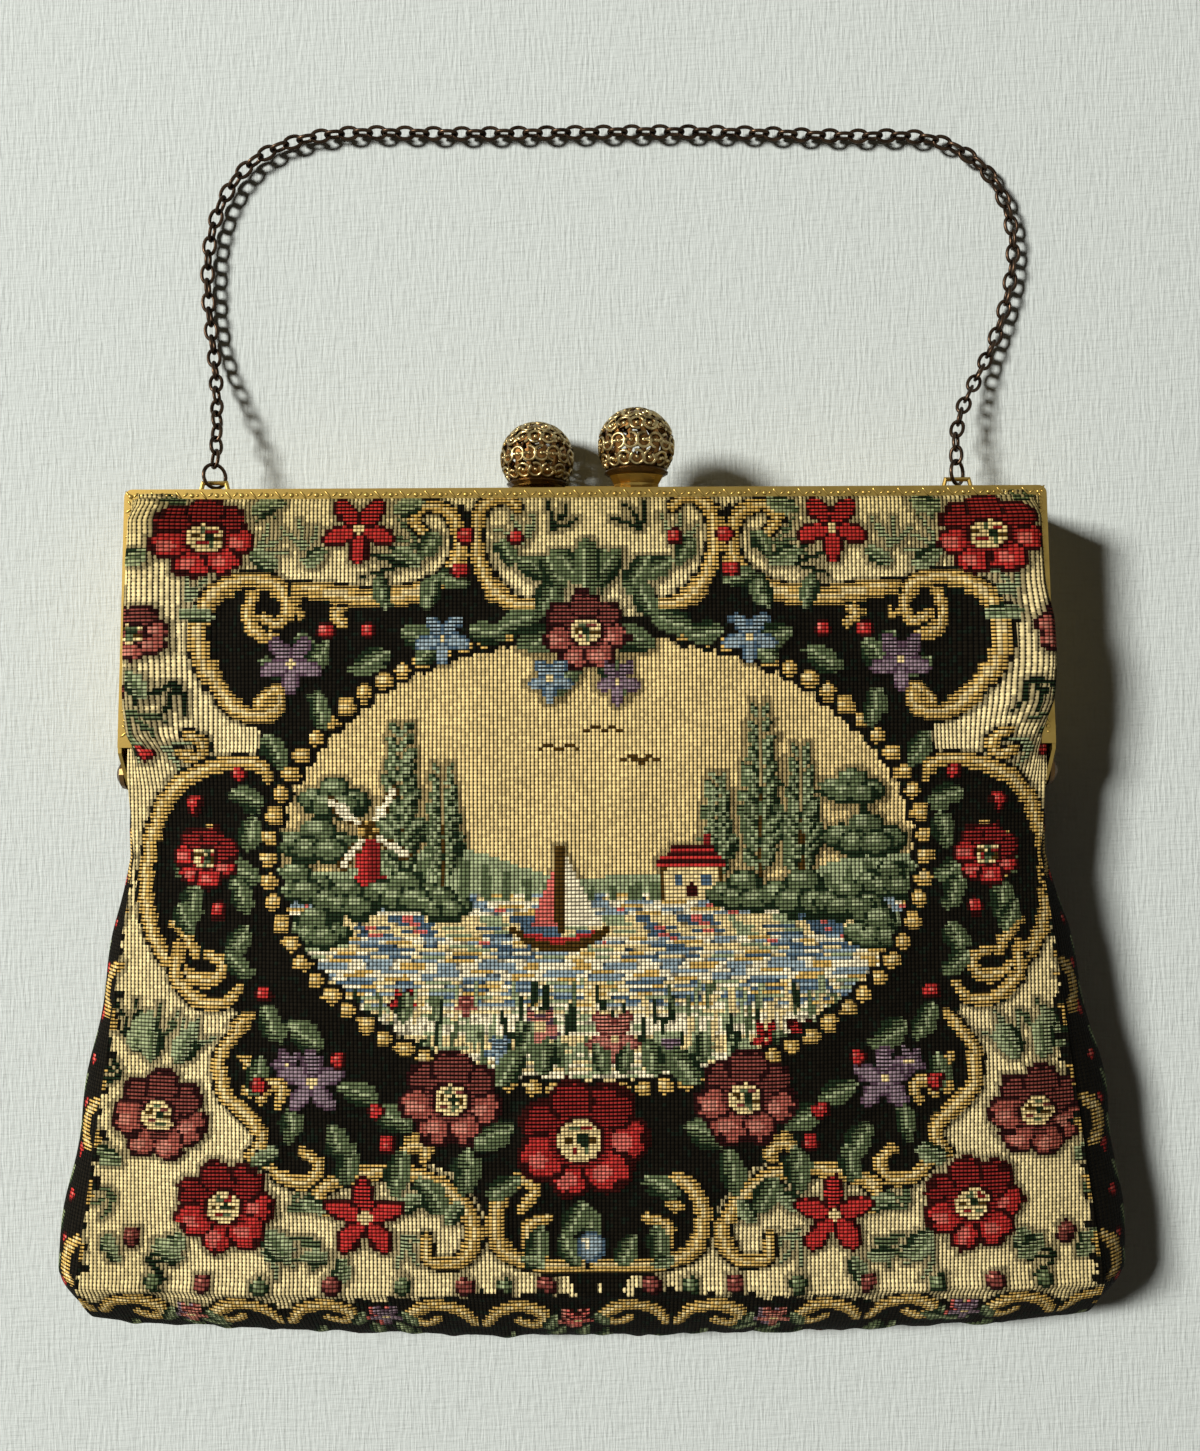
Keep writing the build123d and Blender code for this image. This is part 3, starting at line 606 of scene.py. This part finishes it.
def sail(cloth, x, y):
    stroke(cloth, [(x - 46, y + 4, 3), (x - 20, y + 18, 6), (x + 20, y + 18, 6), (x + 46, y + 2, 3)], "goldDark")
    stroke(cloth, [(x - 36, y + 8, 2), (x, y + 14, 3), (x + 34, y + 7, 2)], "red")
    up = y - cloth["y"]
    fill(cloth, (up > 0) & (up < 74) & (cloth["x"] > x + 3) & (cloth["x"] < x + 3 + (74 - up) * 0.52), "creamPale")
    fill(cloth, (up > 0) & (up < 60) & (cloth["x"] < x - 3) & (cloth["x"] > x - 3 - (60 - up) * 0.42), "redPale")
    stroke(cloth, [(x, y + 8, 2.2), (x, y - 78, 2)], "goldDark")


def reeds(cloth, inside):
    x, y = cloth["x"], cloth["y"]
    for i in range(120):
        rx = 350 + 500 * rng.random()
        ry = 1006 + 74 * rng.random()
        tone = ("green", "greenPale", "greenDark", "goldPale")[i % 4]
        lean = rng.uniform(-7, 7)
        near = inside & (abs(x - rx - lean * (ry - y) / 26) < 2.6) & (y < ry) & (y > ry - 26)
        fill(cloth, near, tone, 0.9)


tapestry = blankCloth(24, 460, 4.0, 3.7, 290, 275, "cream")
paintTapestry(tapestry)
finishCloth(tapestry)
print("tapestry painted", tapestry["rgb"].shape)

# Gusset cloth: black with small flowers and a gold scallop along the front seam
sideCloth = blankCloth(0, 0, 4.0, 3.7, 36, 170, "black")
sideCloth["raised"][:] = 0.35
for i in range(14):
    y = 20 + 46 * i
    if i % 3 == 1:
        scroll(sideCloth, [(6, y - 30, 3), (18, y - 14, 4), (20, y + 4, 4), (10, y + 16, 3)])
    starFlower(sideCloth, 66 + 22 * (i % 2), y + 8, 22, "redDark", ("red", "duskPale", "redDeep")[i % 3], 25 * i)
    leaf(sideCloth, 60, y + 26, 38, 11, 40)
    leaf(sideCloth, 100, y - 4, 38, 11, 130)
    leaf(sideCloth, 34, y - 6, 32, 9, 60)
    berry(sideCloth, 112, y + 20, 8)
    berry(sideCloth, 24, y + 22, 7)


# each face takes the colour of the stitch that it lies on; the weave map counts stitches
def dressInThread(obj, cloth, stitchX, stitchY):
    mesh = obj.data
    loops = np.empty(len(mesh.loops), np.int32)
    mesh.loops.foreach_get("vertex_index", loops)
    uv = np.column_stack([stitchX[loops], stitchY[loops]])
    weave = mesh.uv_layers.new(name="weave")
    weave.data.foreach_set("uv", uv.astype(np.float32).ravel())
    faceUv = uv.reshape(-1, 4, 2).mean(1)
    rows, columns = cloth["raised"].shape
    i = np.clip(faceUv[:, 1].astype(int), 0, rows - 1)
    j = np.clip(faceUv[:, 0].astype(int), 0, columns - 1)
    shade = np.repeat(cloth["rgb"][i, j], 4, axis=0)
    lift = np.repeat(cloth["raised"][i, j], 4)
    layer = mesh.color_attributes.new("thread", "FLOAT_COLOR", "CORNER")
    layer.data.foreach_set("color", np.column_stack([shade, lift]).astype(np.float32).ravel())


# Materials


# Jacquard cotton. Cream and picture grounds show upright ribs with pinholes between them, motifs show
# level floats; the base colour carries painted shade in the grooves and a painted highlight on rib and float tops, and
# single stitches vary a little.
def tapestryMaterial():
    made, tree, shader = newMaterial("jacquard cotton tapestry")
    thread = node(tree, "ShaderNodeVertexColor", {}, layer_name="thread")
    weave = node(tree, "ShaderNodeUVMap", {}, uv_map="weave")
    apart = node(tree, "ShaderNodeSeparateXYZ", {0: weave.outputs[0]})
    rib = maths(tree, "ABSOLUTE", maths(tree, "SINE", maths(tree, "MULTIPLY", apart.outputs[0], math.pi)))
    pick = maths(tree, "ABSOLUTE", maths(tree, "SINE", maths(tree, "MULTIPLY", apart.outputs[1], math.pi)))
    ribRound = maths(tree, "POWER", rib, 0.46)
    pickRound = maths(tree, "POWER", pick, 0.55)
    ground = maths(tree, "MULTIPLY", ribRound, maths(tree, "MULTIPLY_ADD", pickRound, 0.3, 0.7))
    floats = maths(tree, "MULTIPLY", pickRound, maths(tree, "MULTIPLY_ADD", ribRound, 0.62, 0.38))
    raised = maths(tree, "MINIMUM", thread.outputs["Alpha"], 1.0)
    hatched = maths(tree, "GREATER_THAN", thread.outputs["Alpha"], 1.5)
    weftLine = maths(tree, "MULTIPLY", maths(tree, "LESS_THAN", pick, 0.7), hatched)
    height = node(tree, "ShaderNodeMix", {0: raised, 2: ground, 3: floats}, data_type="FLOAT").outputs[0]
    hole = maths(tree, "MULTIPLY", maths(tree, "LESS_THAN", rib, 0.55), maths(tree, "LESS_THAN", pick, 0.72))
    holeShown = maths(tree, "MULTIPLY", hole, maths(tree, "MULTIPLY_ADD", raised, -0.6, 1.0))
    stitch = node(tree, "ShaderNodeVectorMath", {0: weave.outputs[0]}, operation="FLOOR")
    random = node(tree, "ShaderNodeTexWhiteNoise", {0: stitch.outputs[0]}, noise_dimensions="2D")
    vary = maths(tree, "MULTIPLY_ADD", random.outputs[0], 0.5, 0.78)
    # painted shade and highlight: the base colour follows the rib height, dark in the grooves and above full on the
    # tops
    shadow = maths(tree, "MULTIPLY_ADD", height, 1.45, -0.15)
    shown = maths(tree, "MULTIPLY", maths(tree, "MULTIPLY_ADD", weftLine, -0.88, 1.0),
                  maths(tree, "MULTIPLY_ADD", holeShown, -0.9, 1.0))
    dim = maths(tree, "MULTIPLY", maths(tree, "MULTIPLY", shadow, vary), shown)
    tone = node(tree, "ShaderNodeVectorMath", {0: thread.outputs["Color"], 3: dim}, operation="SCALE")
    bump = node(tree, "ShaderNodeBump", {"Height": height, "Strength": 1.0, "Distance": 0.3 * mm})
    tree.links.new(tone.outputs[0], shader.inputs["Base Color"])
    tree.links.new(bump.outputs[0], shader.inputs["Normal"])
    shader.inputs["Roughness"].default_value = 0.82
    shader.inputs["Specular IOR Level"].default_value = 0.04
    return made


# Satin lining: fine level weave lines and soft mottling in a peach tone
def satinMaterial():
    made, tree, shader = newMaterial("rayon satin lining")
    place = node(tree, "ShaderNodeTexCoord", {})
    cloud = node(tree, "ShaderNodeTexNoise", {"Vector": place.outputs["Object"], "Scale": 60.0, "Detail": 4.0})
    tone = node(tree, "ShaderNodeMix", {0: cloud.outputs[0], 6: (*linear("#BE9F74"), 1), 7: (*linear("#D8BE93"), 1)},
                data_type="RGBA")
    lines = node(tree, "ShaderNodeTexWave", {"Vector": place.outputs["Object"], "Scale": 900.0},
                 bands_direction="Y")
    bump = node(tree, "ShaderNodeBump", {"Height": lines.outputs[1], "Strength": 0.3, "Distance": 0.05 * mm})
    tree.links.new(tone.outputs[2], shader.inputs["Base Color"])
    tree.links.new(bump.outputs[0], shader.inputs["Normal"])
    shader.inputs["Roughness"].default_value = 0.42
    return made


# Metal with tarnish: the noise darkens and dulls some patches, and the others show the bright plating
def metalMaterial(name, bright, dark, roughness, scale, contrast=0.5):
    made, tree, shader = newMaterial(name)
    place = node(tree, "ShaderNodeTexCoord", {})
    spots = node(tree, "ShaderNodeTexNoise", {"Vector": place.outputs["Object"], "Scale": scale, "Detail": 6.0})
    spread = node(tree, "ShaderNodeMapRange", {0: spots.outputs[0], 1: 0.5 - contrast / 2, 2: 0.5 + contrast / 2})
    tone = node(tree, "ShaderNodeMix", {0: spread.outputs[0], 6: (*linear(dark), 1), 7: (*linear(bright), 1)},
                data_type="RGBA")
    rough = node(tree, "ShaderNodeMapRange", {0: spread.outputs[0], 3: roughness + 0.18, 4: roughness})
    grain = node(tree, "ShaderNodeTexNoise", {"Vector": place.outputs["Object"], "Scale": 2400.0, "Detail": 2.0})
    bump = node(tree, "ShaderNodeBump", {"Height": grain.outputs[0], "Strength": 0.15, "Distance": 0.04 * mm})
    tree.links.new(tone.outputs[2], shader.inputs["Base Color"])
    tree.links.new(rough.outputs[0], shader.inputs["Roughness"])
    tree.links.new(bump.outputs[0], shader.inputs["Normal"])
    shader.inputs["Metallic"].default_value = 1.0
    return made


def paperMaterial():
    made, tree, shader = newMaterial("twisted paper cord")
    place = node(tree, "ShaderNodeTexCoord", {})
    fibre = node(tree, "ShaderNodeTexNoise", {"Vector": place.outputs["Object"], "Scale": 800.0})
    tone = node(tree, "ShaderNodeMix", {0: fibre.outputs[0], 6: (*linear("#8E7448"), 1), 7: (*linear("#C9B184"), 1)},
                data_type="RGBA")
    tree.links.new(tone.outputs[2], shader.inputs["Base Color"])
    shader.inputs["Roughness"].default_value = 0.9
    return made


# Linen-faced board: fine crossed threads, uneven in width, under a slight grey-green cast
def boardMaterial():
    made, tree, shader = newMaterial("linen faced board")
    place = node(tree, "ShaderNodeTexCoord", {})
    heights = []
    for stretch in ((1500, 180, 1), (180, 1500, 1)):
        mapped = node(tree, "ShaderNodeMapping", {"Vector": place.outputs["Object"], "Scale": stretch})
        heights.append(node(tree, "ShaderNodeTexNoise", {"Vector": mapped.outputs[0], "Scale": 1.0}).outputs[0])
    both = maths(tree, "ADD", heights[0], heights[1])
    tone = node(tree, "ShaderNodeMix", {0: both, 6: (*linear("#B9C0BC"), 1), 7: (*linear("#D3DAD7"), 1)},
                data_type="RGBA")
    bump = node(tree, "ShaderNodeBump", {"Height": both, "Strength": 1.0, "Distance": 0.2 * mm})
    tree.links.new(tone.outputs[2], shader.inputs["Base Color"])
    tree.links.new(bump.outputs[0], shader.inputs["Normal"])
    shader.inputs["Roughness"].default_value = 0.75
    shader.inputs["Specular IOR Level"].default_value = 0.06
    return made


clothLook = tapestryMaterial()
satinLook = satinMaterial()
brassLook = metalMaterial("rolled brass", "#BC9E58", "#8A7036", 0.26, 320, 0.9)
giltLook = metalMaterial("antiqued gilt", "#CDB784", "#564426", 0.24, 700, 0.35)
shellLook = metalMaterial("amber gilt shell", "#94693A", "#3C2611", 0.32, 420, 0.4)
bronzeLook = metalMaterial("darkened bronze", "#775A36", "#2C2016", 0.26, 300, 0.6)
chainLook = metalMaterial("oxidised chain wire", "#503F31", "#18110D", 0.26, 500, 0.5)
paperLook = paperMaterial()

for name, look in (("rear_frame", brassLook), ("front_frame", brassLook), ("left_hinge_rivet", bronzeLook),
                   ("right_hinge_rivet", bronzeLook), ("rear_knob_bracket", brassLook),
                   ("front_knob_bracket", brassLook), ("rear_knob_collar", bronzeLook),
                   ("front_knob_collar", bronzeLook), ("rear_knob_ball", shellLook),
                   ("front_knob_ball", shellLook),
                   ("left_chain_ear", brassLook), ("right_chain_ear", brassLook),
                   ("front_packing_cord", paperLook), ("rear_packing_cord", paperLook)):
    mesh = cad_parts[name].data
    mesh.materials.clear()
    mesh.materials.append(look)
print("materials made")

# Cloth sheets

# a level grid whose corners are then carried to their places
def gridSheet(across, along):
    bm = bmesh.new()
    bmesh.ops.create_grid(bm, x_segments=across, y_segments=along, size=1.0)
    bm.verts.ensure_lookup_table()
    flat = np.array([v.co for v in bm.verts])
    return bm, flat[:, 0], (1 - flat[:, 1]) / 2


def carry(bm, x, y, z):
    for v, place in zip(bm.verts, np.column_stack([x, y, z]) * mm):
        v.co = place


# slow waves that keep the cloth from lying dead flat
def ripple(x, y, size):
    wave = np.sin(x * 0.11 + 1.3 * np.sin(y * 0.07)) * np.sin(y * 0.13 + 0.9 * np.sin(x * 0.05))
    return size * (wave + 0.5 * np.sin(x * 0.31 + y * 0.17) * np.sin(y * 0.23 - x * 0.09))


# how far each point stands up because of the motif under it
def motifLift(cloth, stitchX, stitchY):
    raised = np.minimum(cloth["raised"], 1)
    soft = sum(np.roll(np.roll(raised, i, 0), j, 1) for i in (-1, 0, 1) for j in (-1, 0, 1)) / 9
    rows, columns = raised.shape
    i = np.clip(stitchY.astype(int), 0, rows - 1)
    j = np.clip(stitchX.astype(int), 0, columns - 1)
    return soft[i, j]


# the outer cloth of the front: over the full face, past the crease and round the bottom
def frontSheet(across, along, inset, narrow, lift):
    rows, arc = evenly(through(pouch["front"], 12), along + 1)
    bm, a, b = gridSheet(across, along)
    at = b * along
    y, z, turn, crown = (np.interp(at, np.arange(along + 1), column) for column in rows.T)
    travelled = np.interp(at, np.arange(along + 1), arc)
    turn = np.radians(turn)
    half = halfWidth(y) - np.where(y > pouch["hinge"] + 3, min(narrow, 0.4), narrow)
    x = a * half
    stitchX = (frontSettings["pxMiddle"] + x * frontSettings["pxPerMm"] - tapestry["left"]) / tapestry["across"]
    stitchY = (frontSettings["pxTop"] + travelled * frontSettings["pxPerMm"] - tapestry["top"]) / tapestry["down"]
    inFrame = np.clip((pouch["top"] - 3 - y) / 8, 0, 1)
    loose = inFrame * np.clip((1 - abs(a)) * 12, 0, 1)
    out = crown * (1 - abs(a) ** 2.2) - inset + loose * ripple(x, travelled, 0.35)
    if lift:
        over, up = pillow(a, y)
        x = x + np.sign(a) * over
        out = out + up
    if lift:
        crease = np.exp(-((travelled - creaseAt(rows, arc)) / 1.1) ** 2)
        out = out + loose * lift * motifLift(tapestry, stitchX, stitchY) + crease * 0.7 * loose
    carry(bm, x, y - np.sin(turn) * out, np.maximum(z + np.cos(turn) * out, 0.05))
    return bm, stitchX, stitchY


# beside the arms of the frame the cloth swells out and lies over the lip, more so on the right
sideSwell = {"across": (0.80, 0.86, 0.90, 0.925, 0.945, 0.96, 0.972, 0.984, 1.0),
             "out": (0.0, 1.6, 3.0, 4.1, 4.8, 4.9, 3.6, 1.0, 0.0),
             "up": (0.0, 0.7, 1.3, 1.7, 1.7, 1.3, 1.2, 0.6, 0.0),
             "places": (72, 80, 84, 90, 98, 108, 116, 124, 130, 133.5),
             "left": (0, 0.2, 0.75, 0.95, 1.0, 1.0, 1.0, 0.95, 0.9, 0.5),
             "right": (0, 0.3, 0.55, 1.1, 1.3, 1.25, 0.95, 0.85, 0.8, 0.4)}


def pillow(a, y):
    amount = np.where(a < 0, np.interp(y, sideSwell["places"], sideSwell["left"]),
                      np.interp(y, sideSwell["places"], sideSwell["right"]))
    over = np.interp(abs(a), sideSwell["across"], sideSwell["out"]) * amount
    return over, np.interp(abs(a), sideSwell["across"], sideSwell["up"]) * np.minimum(amount * 1.6, 1)


def creaseAt(rows, arc):
    return float(np.interp(0, -rows[:, 0] - 36.5, arc))


bm, stitchX, stitchY = frontSheet(frontSettings["across"], frontSettings["along"], 0, 0, frontSettings["lift"])
frontCloth = addObject("front_cloth", bm, clothLook)
dressInThread(frontCloth, tapestry, stitchX, stitchY)
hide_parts("front_panel")
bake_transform(frontCloth)

bm, stitchX, stitchY = frontSheet(90, 100, 1.35, 2.2, 0)
frontLining = addObject("front_lining_satin", bm, satinLook)
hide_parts("front_lining")
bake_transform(frontLining)
print("front cloth and lining made")


# the flat back cloth and its lining, seen from the side as one bent line
def backSheet(across, along, raise_, narrow):
    rows, arc = evenly(through([(y, z) for y, z in reversed(pouch["back"])], 8), along + 1)
    bm, a, b = gridSheet(across, along)
    at = b * along
    y, z = (np.interp(at, np.arange(along + 1), column) for column in rows.T)
    x = a * (halfWidth(y) - np.where(y > pouch["hinge"] + 3, min(narrow, 0.4), narrow))
    travelled = np.interp(at, np.arange(along + 1), arc)
    stitchX = (frontSettings["pxMiddle"] - x * frontSettings["pxPerMm"] - tapestry["left"]) / tapestry["across"]
    stitchY = (frontSettings["pxTop"] + travelled * frontSettings["pxPerMm"] - tapestry["top"]) / tapestry["down"]
    carry(bm, x, y, np.maximum(z, 0.0) + raise_)
    return bm, stitchX, stitchY


bm, stitchX, stitchY = backSheet(250, 240, 0.02, 0)
bmesh.ops.reverse_faces(bm, faces=bm.faces)
backCloth = addObject("back_cloth", bm, clothLook)
dressInThread(backCloth, tapestry, stitchX, stitchY)
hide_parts("back_panel")
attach(backCloth, "pouch")

bm, stitchX, stitchY = backSheet(60, 90, 1.6, 2.2)
backLining = addObject("back_lining_satin", bm, satinLook)
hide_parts("back_lining")
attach(backLining, "pouch")


# a side gusset between the front and back seams, folded out by the full pouch
def gussetSheet(side, across, along, inset, waviness):
    rows, arc = evenly(through(pouch["gusset"], 8), along + 1)
    bm, a, b = gridSheet(across, along)
    at = b * along
    y, low, high, bulge = (np.interp(at, np.arange(along + 1), column) for column in rows.T)
    t = (1 + a) / 2
    low, high = low + inset, high - inset + 0.9
    fuller = 1.0 if side < 0 else np.interp(y, (-46, -36, -20, 5, 40, 60), (1.0, 1.1, 1.25, 1.48, 1.3, 1.0))
    x = halfWidth(y) - inset + 4 * bulge * fuller * t * (1 - t) + waviness * np.sin(y * 0.21) * np.sin(math.pi * t)
    z = low + (high - low) * t
    carry(bm, side * x, y, z)
    if side > 0:
        bmesh.ops.reverse_faces(bm, faces=bm.faces)
    stitchX = (1 - t) * 30
    stitchY = (np.interp(at, np.arange(along + 1), arc) * 4.62) / sideCloth["down"]
    return bm, stitchX, stitchY


for side, word in ((-1, "left"), (1, "right")):
    bm, stitchX, stitchY = gussetSheet(side, 34, 150, 0, 0.5)
    gusset = addObject(f"{word}_gusset_cloth", bm, clothLook)
    dressInThread(gusset, sideCloth, stitchX, stitchY)
    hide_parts(f"{word}_gusset")
    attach(gusset, "pouch")
    bm, stitchX, stitchY = gussetSheet(side, 16, 60, 1.35, 0)
    gussetLining = addObject(f"{word}_gusset_lining_satin", bm, satinLook)
    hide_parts(f"{word}_gusset_lining")
    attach(gussetLining, "pouch")
print("back, gussets and linings made")


# Chain and rings


# one rounded wire loop, lying along x, its middle drawn out into an oval
def wireLoop(length, width, wire, around, section):
    bm = bmesh.new()
    radius = (width - wire) / 2
    turned = Matrix.Translation((radius, 0, 0)) @ Matrix.Rotation(math.pi / 2, 4, "X")
    bmesh.ops.create_circle(bm, segments=section, radius=wire / 2, matrix=turned)
    bmesh.ops.spin(bm, geom=bm.verts[:] + bm.edges[:], axis=(0, 0, 1), cent=(0, 0, 0), angle=2 * math.pi,
                   steps=around, use_merge=True)
    stretch = (length - width) / 2
    for v in bm.verts:
        v.co.x += stretch * math.sin(math.atan2(v.co.x, abs(v.co.y) * 0.8))
    bmesh.ops.recalc_face_normals(bm, faces=bm.faces)
    mesh = bpy.data.meshes.new("loop")
    bm.to_mesh(mesh)
    bm.free()
    return mesh


# where each separate solid of a CAD node lies: its centre and its long, middle and short directions
def solidPlaces(nodeName):
    bm = bmesh.new()
    bm.from_mesh(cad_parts[nodeName].data)
    bmesh.ops.remove_doubles(bm, verts=bm.verts, dist=0.00002)
    bm.verts.ensure_lookup_table()
    seen, places = set(), []
    for start in bm.verts:
        if start.index in seen:
            continue
        group, stack = [], [start]
        seen.add(start.index)
        while stack:
            v = stack.pop()
            group.append(v.co[:])
            for edge in v.link_edges:
                other = edge.other_vert(v)
                if other.index not in seen:
                    seen.add(other.index)
                    stack.append(other)
        points = np.array(group)
        centre = points.mean(0)
        axes = np.linalg.svd(points - centre, full_matrices=False)[2]
        if np.linalg.det(axes) < 0:
            axes[2] *= -1
        turn = Matrix(axes.tolist()).transposed().to_4x4()
        places.append(Matrix.Translation(centre) @ turn)
    bm.free()
    return places


chain = {"length": 4.98 * mm, "width": 3.56 * mm, "wire": 0.84 * mm}
linkMesh = wireLoop(chain["length"], chain["width"], chain["wire"], 20, 8)
bm = bmesh.new()
for place in solidPlaces("chain_links"):
    start = len(bm.verts)
    bm.from_mesh(linkMesh)
    bm.verts.ensure_lookup_table()
    bmesh.ops.transform(bm, matrix=place, verts=bm.verts[start:])
links = addObject("chain_wire_links", bm, chainLook)
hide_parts("chain_links")
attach(links, "chain")

ringMesh = wireLoop(6.2 * mm, 6.2 * mm, 0.84 * mm, 32, 10)
for word in ("left", "right"):
    bm = bmesh.new()
    bm.from_mesh(ringMesh)
    bmesh.ops.transform(bm, matrix=solidPlaces(f"{word}_jump_ring")[0], verts=bm.verts)
    ring = addObject(f"{word}_jump_ring_wire", bm, chainLook)
    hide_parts(f"{word}_jump_ring")
    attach(ring, "chain")
print("chain made")

# Embossed border on the frame lips: slanted strokes with beads between them

lipPattern = {"pitch": 5.4}
lipPath = evenly(np.array([(-101.6, 82.0), (-100, 137.0), (100, 137.0), (101.6, 82.0)]), 600)


# the upper half of a small rounded bead, one unit in size
def beadMesh():
    bm = bmesh.new()
    bmesh.ops.create_uvsphere(bm, u_segments=8, v_segments=6, radius=1.0)
    bmesh.ops.delete(bm, geom=[v for v in bm.verts if v.co.z < -0.1], context="VERTS")
    mesh = bpy.data.meshes.new("bead")
    bm.to_mesh(mesh)
    bm.free()
    return mesh


# copies of one small mesh, each in its own place, gathered in one bmesh
def gather(mesh, places):
    bm = bmesh.new()
    for place in places:
        start = len(bm.verts)
        bm.from_mesh(mesh)
        bm.verts.ensure_lookup_table()
        bmesh.ops.transform(bm, matrix=place, verts=bm.verts[start:])
    return bm


# a place on the lip, this far along it and this far in from the edge
def lipPlace(s, inward, z, size, turn=0.0):
    curve, along = lipPath
    x, y = np.interp(s, along, curve[:, 0]), np.interp(s, along, curve[:, 1])
    ahead = np.interp(s + 0.5, along, curve[:, 0]), np.interp(s + 0.5, along, curve[:, 1])
    heading = math.atan2(ahead[1] - y, ahead[0] - x)
    spot = Matrix.Translation((x + inward * math.sin(heading), y - inward * math.cos(heading), z))
    shape = Matrix.Diagonal((size[0], size[1], size[2], 1))
    return Matrix.Scale(mm, 4) @ spot @ Matrix.Rotation(heading + turn, 4, "Z") @ shape


def emboss(z, up):
    places = []
    length = lipPath[1][-1]
    for s in np.arange(2, length - 2, lipPattern["pitch"]):
        places.append(lipPlace(s, 1.3, z, (1.25, 0.3, 0.26 * up), -0.9))
        places.append(lipPlace(s + 1.5, 1.25, z, (0.8, 0.28, 0.24 * up), 0.7))
        places.append(lipPlace(s + 2.9, 1.4, z, (0.55, 0.55, 0.34 * up)))
        places.append(lipPlace(s + 4.1, 1.35, z, (0.36, 0.36, 0.24 * up)))
    bm = gather(beadMesh(), places)
    bmesh.ops.recalc_face_normals(bm, faces=bm.faces)
    return bm


for z, up, body, word in ((21.46, 1, "front_half", "front"), (6.54, -1, "pouch", "rear")):
    border = addObject(f"{word}_lip_border", emboss(z, up), brassLook)
    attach(border, body)

# Pierced knobs: scrolls of wire laid over the cut shell, with beads between them


def scrollWire(size):
    bm = bmesh.new()
    turned = Matrix.Translation((size, 0, 0)) @ Matrix.Rotation(math.pi / 2, 4, "X")
    bmesh.ops.create_circle(bm, segments=6, radius=0.36 * mm, matrix=turned)
    bmesh.ops.spin(bm, geom=bm.verts[:] + bm.edges[:], axis=(0, 0, 1), cent=(0, 0, 0),
                   angle=math.radians(290), steps=14)
    mesh = bpy.data.meshes.new("scroll")
    bm.to_mesh(mesh)
    bm.free()
    return mesh


# how far up each row of scrolls stands in degrees, how many there are, their size and their turn
bead = beadMesh()
knobRows = ((-28, 16, 1.45, 0), (-2, 18, 1.55, 180), (26, 16, 1.5, 0), (50, 10, 1.35, 180), (72, 5, 1.0, 90))
for word, body in (("rear", "pouch"), ("front", "front_half")):
    low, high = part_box(f"{word}_knob_ball")
    centre = Vector(((low.x + high.x) / 2, low.y + 5.5 * mm, (low.z + high.z) / 2))
    bm = bmesh.new()
    for latitude, count, size, spinTurn in knobRows:
        mesh = scrollWire(size * mm)
        up = math.radians(latitude)
        for i in range(count):
            flip = 1 if i % 2 else -1
            for part, step in ((mesh, i), (bead, i), (bead, i + 0.5)):
                turn = 2 * math.pi * step / count
                out = Vector((math.cos(up) * math.cos(turn), math.sin(up), math.cos(up) * math.sin(turn)))
                facing = out.to_track_quat("Z", "Y").to_matrix().to_4x4()
                place = Matrix.Translation(centre + out * 7.95 * mm) @ facing
                if part is mesh:
                    place = place @ Matrix.Rotation(math.radians(spinTurn + 70 * flip), 4, "Z")
                    place = place @ Matrix.Diagonal((flip, 1, 1, 1))
                else:
                    long = 0.5 if step == i else 1.3
                    place = place @ Matrix.Diagonal((0.5 * mm, long * mm, 0.46 * mm, 1))
                start = len(bm.verts)
                bm.from_mesh(part)
                bm.verts.ensure_lookup_table()
                bmesh.ops.transform(bm, matrix=place, verts=bm.verts[start:])
    bmesh.ops.create_icosphere(bm, subdivisions=2, radius=1.1 * mm, matrix=Matrix.Translation(centre + Vector((0, 7.5 * mm, 0))))
    filigree = addObject(f"{word}_knob_filigree", bm, giltLook)
    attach(filigree, body)
print("metalwork made")

# Board, light and camera

bm = bmesh.new()
bmesh.ops.create_grid(bm, x_segments=1, y_segments=1, size=1.2, matrix=Matrix.Translation((0, 0.05, -0.0002)))
mesh = bpy.data.meshes.new("board")
bm.to_mesh(mesh)
bm.free()
board = bpy.data.objects.new("board", mesh)
bpy.context.scene.collection.objects.link(board)
mesh.materials.append(boardMaterial())

# one low window to the left and a little above, with a weak room light to fill the shadows
key = bpy.data.lights.new("window_light", "AREA")
key.energy = 346
key.size = 0.93
key.color = (1.0, 0.975, 0.93)
keyObject = bpy.data.objects.new("window_light", key)
keyObject.location = (-3.5, 1.3, 3.1)
keyObject.rotation_euler = (Vector((0, 0.06, 0)) - keyObject.location).to_track_quat("-Z", "Y").to_euler()
bpy.context.scene.collection.objects.link(keyObject)

world = bpy.data.worlds.new("room")
world.use_nodes = True
tree = world.node_tree
roomLight = tree.nodes["Background"]
roomLight.inputs[0].default_value = (*linear("#F0DFC4"), 1)
roomLight.inputs[1].default_value = 0.036
# the pale backdrop that the camera and the metal see; it puts no light on the purse
backdrop = node(tree, "ShaderNodeBackground", {0: (*linear("#D6D9D3"), 1), 1: 0.8})
ray = node(tree, "ShaderNodeLightPath", {})
seen = maths(tree, "MAXIMUM", ray.outputs["Is Camera Ray"],
             maths(tree, "MAXIMUM", ray.outputs["Is Glossy Ray"], ray.outputs["Is Transmission Ray"]))
both = node(tree, "ShaderNodeMixShader", {0: seen, 1: roomLight.outputs[0], 2: backdrop.outputs[0]})
tree.links.new(both.outputs[0], tree.nodes["World Output"].inputs[0])
bpy.context.scene.world = world

camera = bpy.data.cameras.new("camera")
camera.lens = 29.8
cameraObject = bpy.data.objects.new("camera", camera)
cameraObject.location = (2.9 * mm, 85.3 * mm, 282 * mm)
cameraObject.rotation_euler = (0, 0, math.radians(-0.3))
bpy.context.scene.collection.objects.link(cameraObject)
bpy.context.scene.camera = cameraObject
bpy.context.scene.view_settings.view_transform = "Standard"
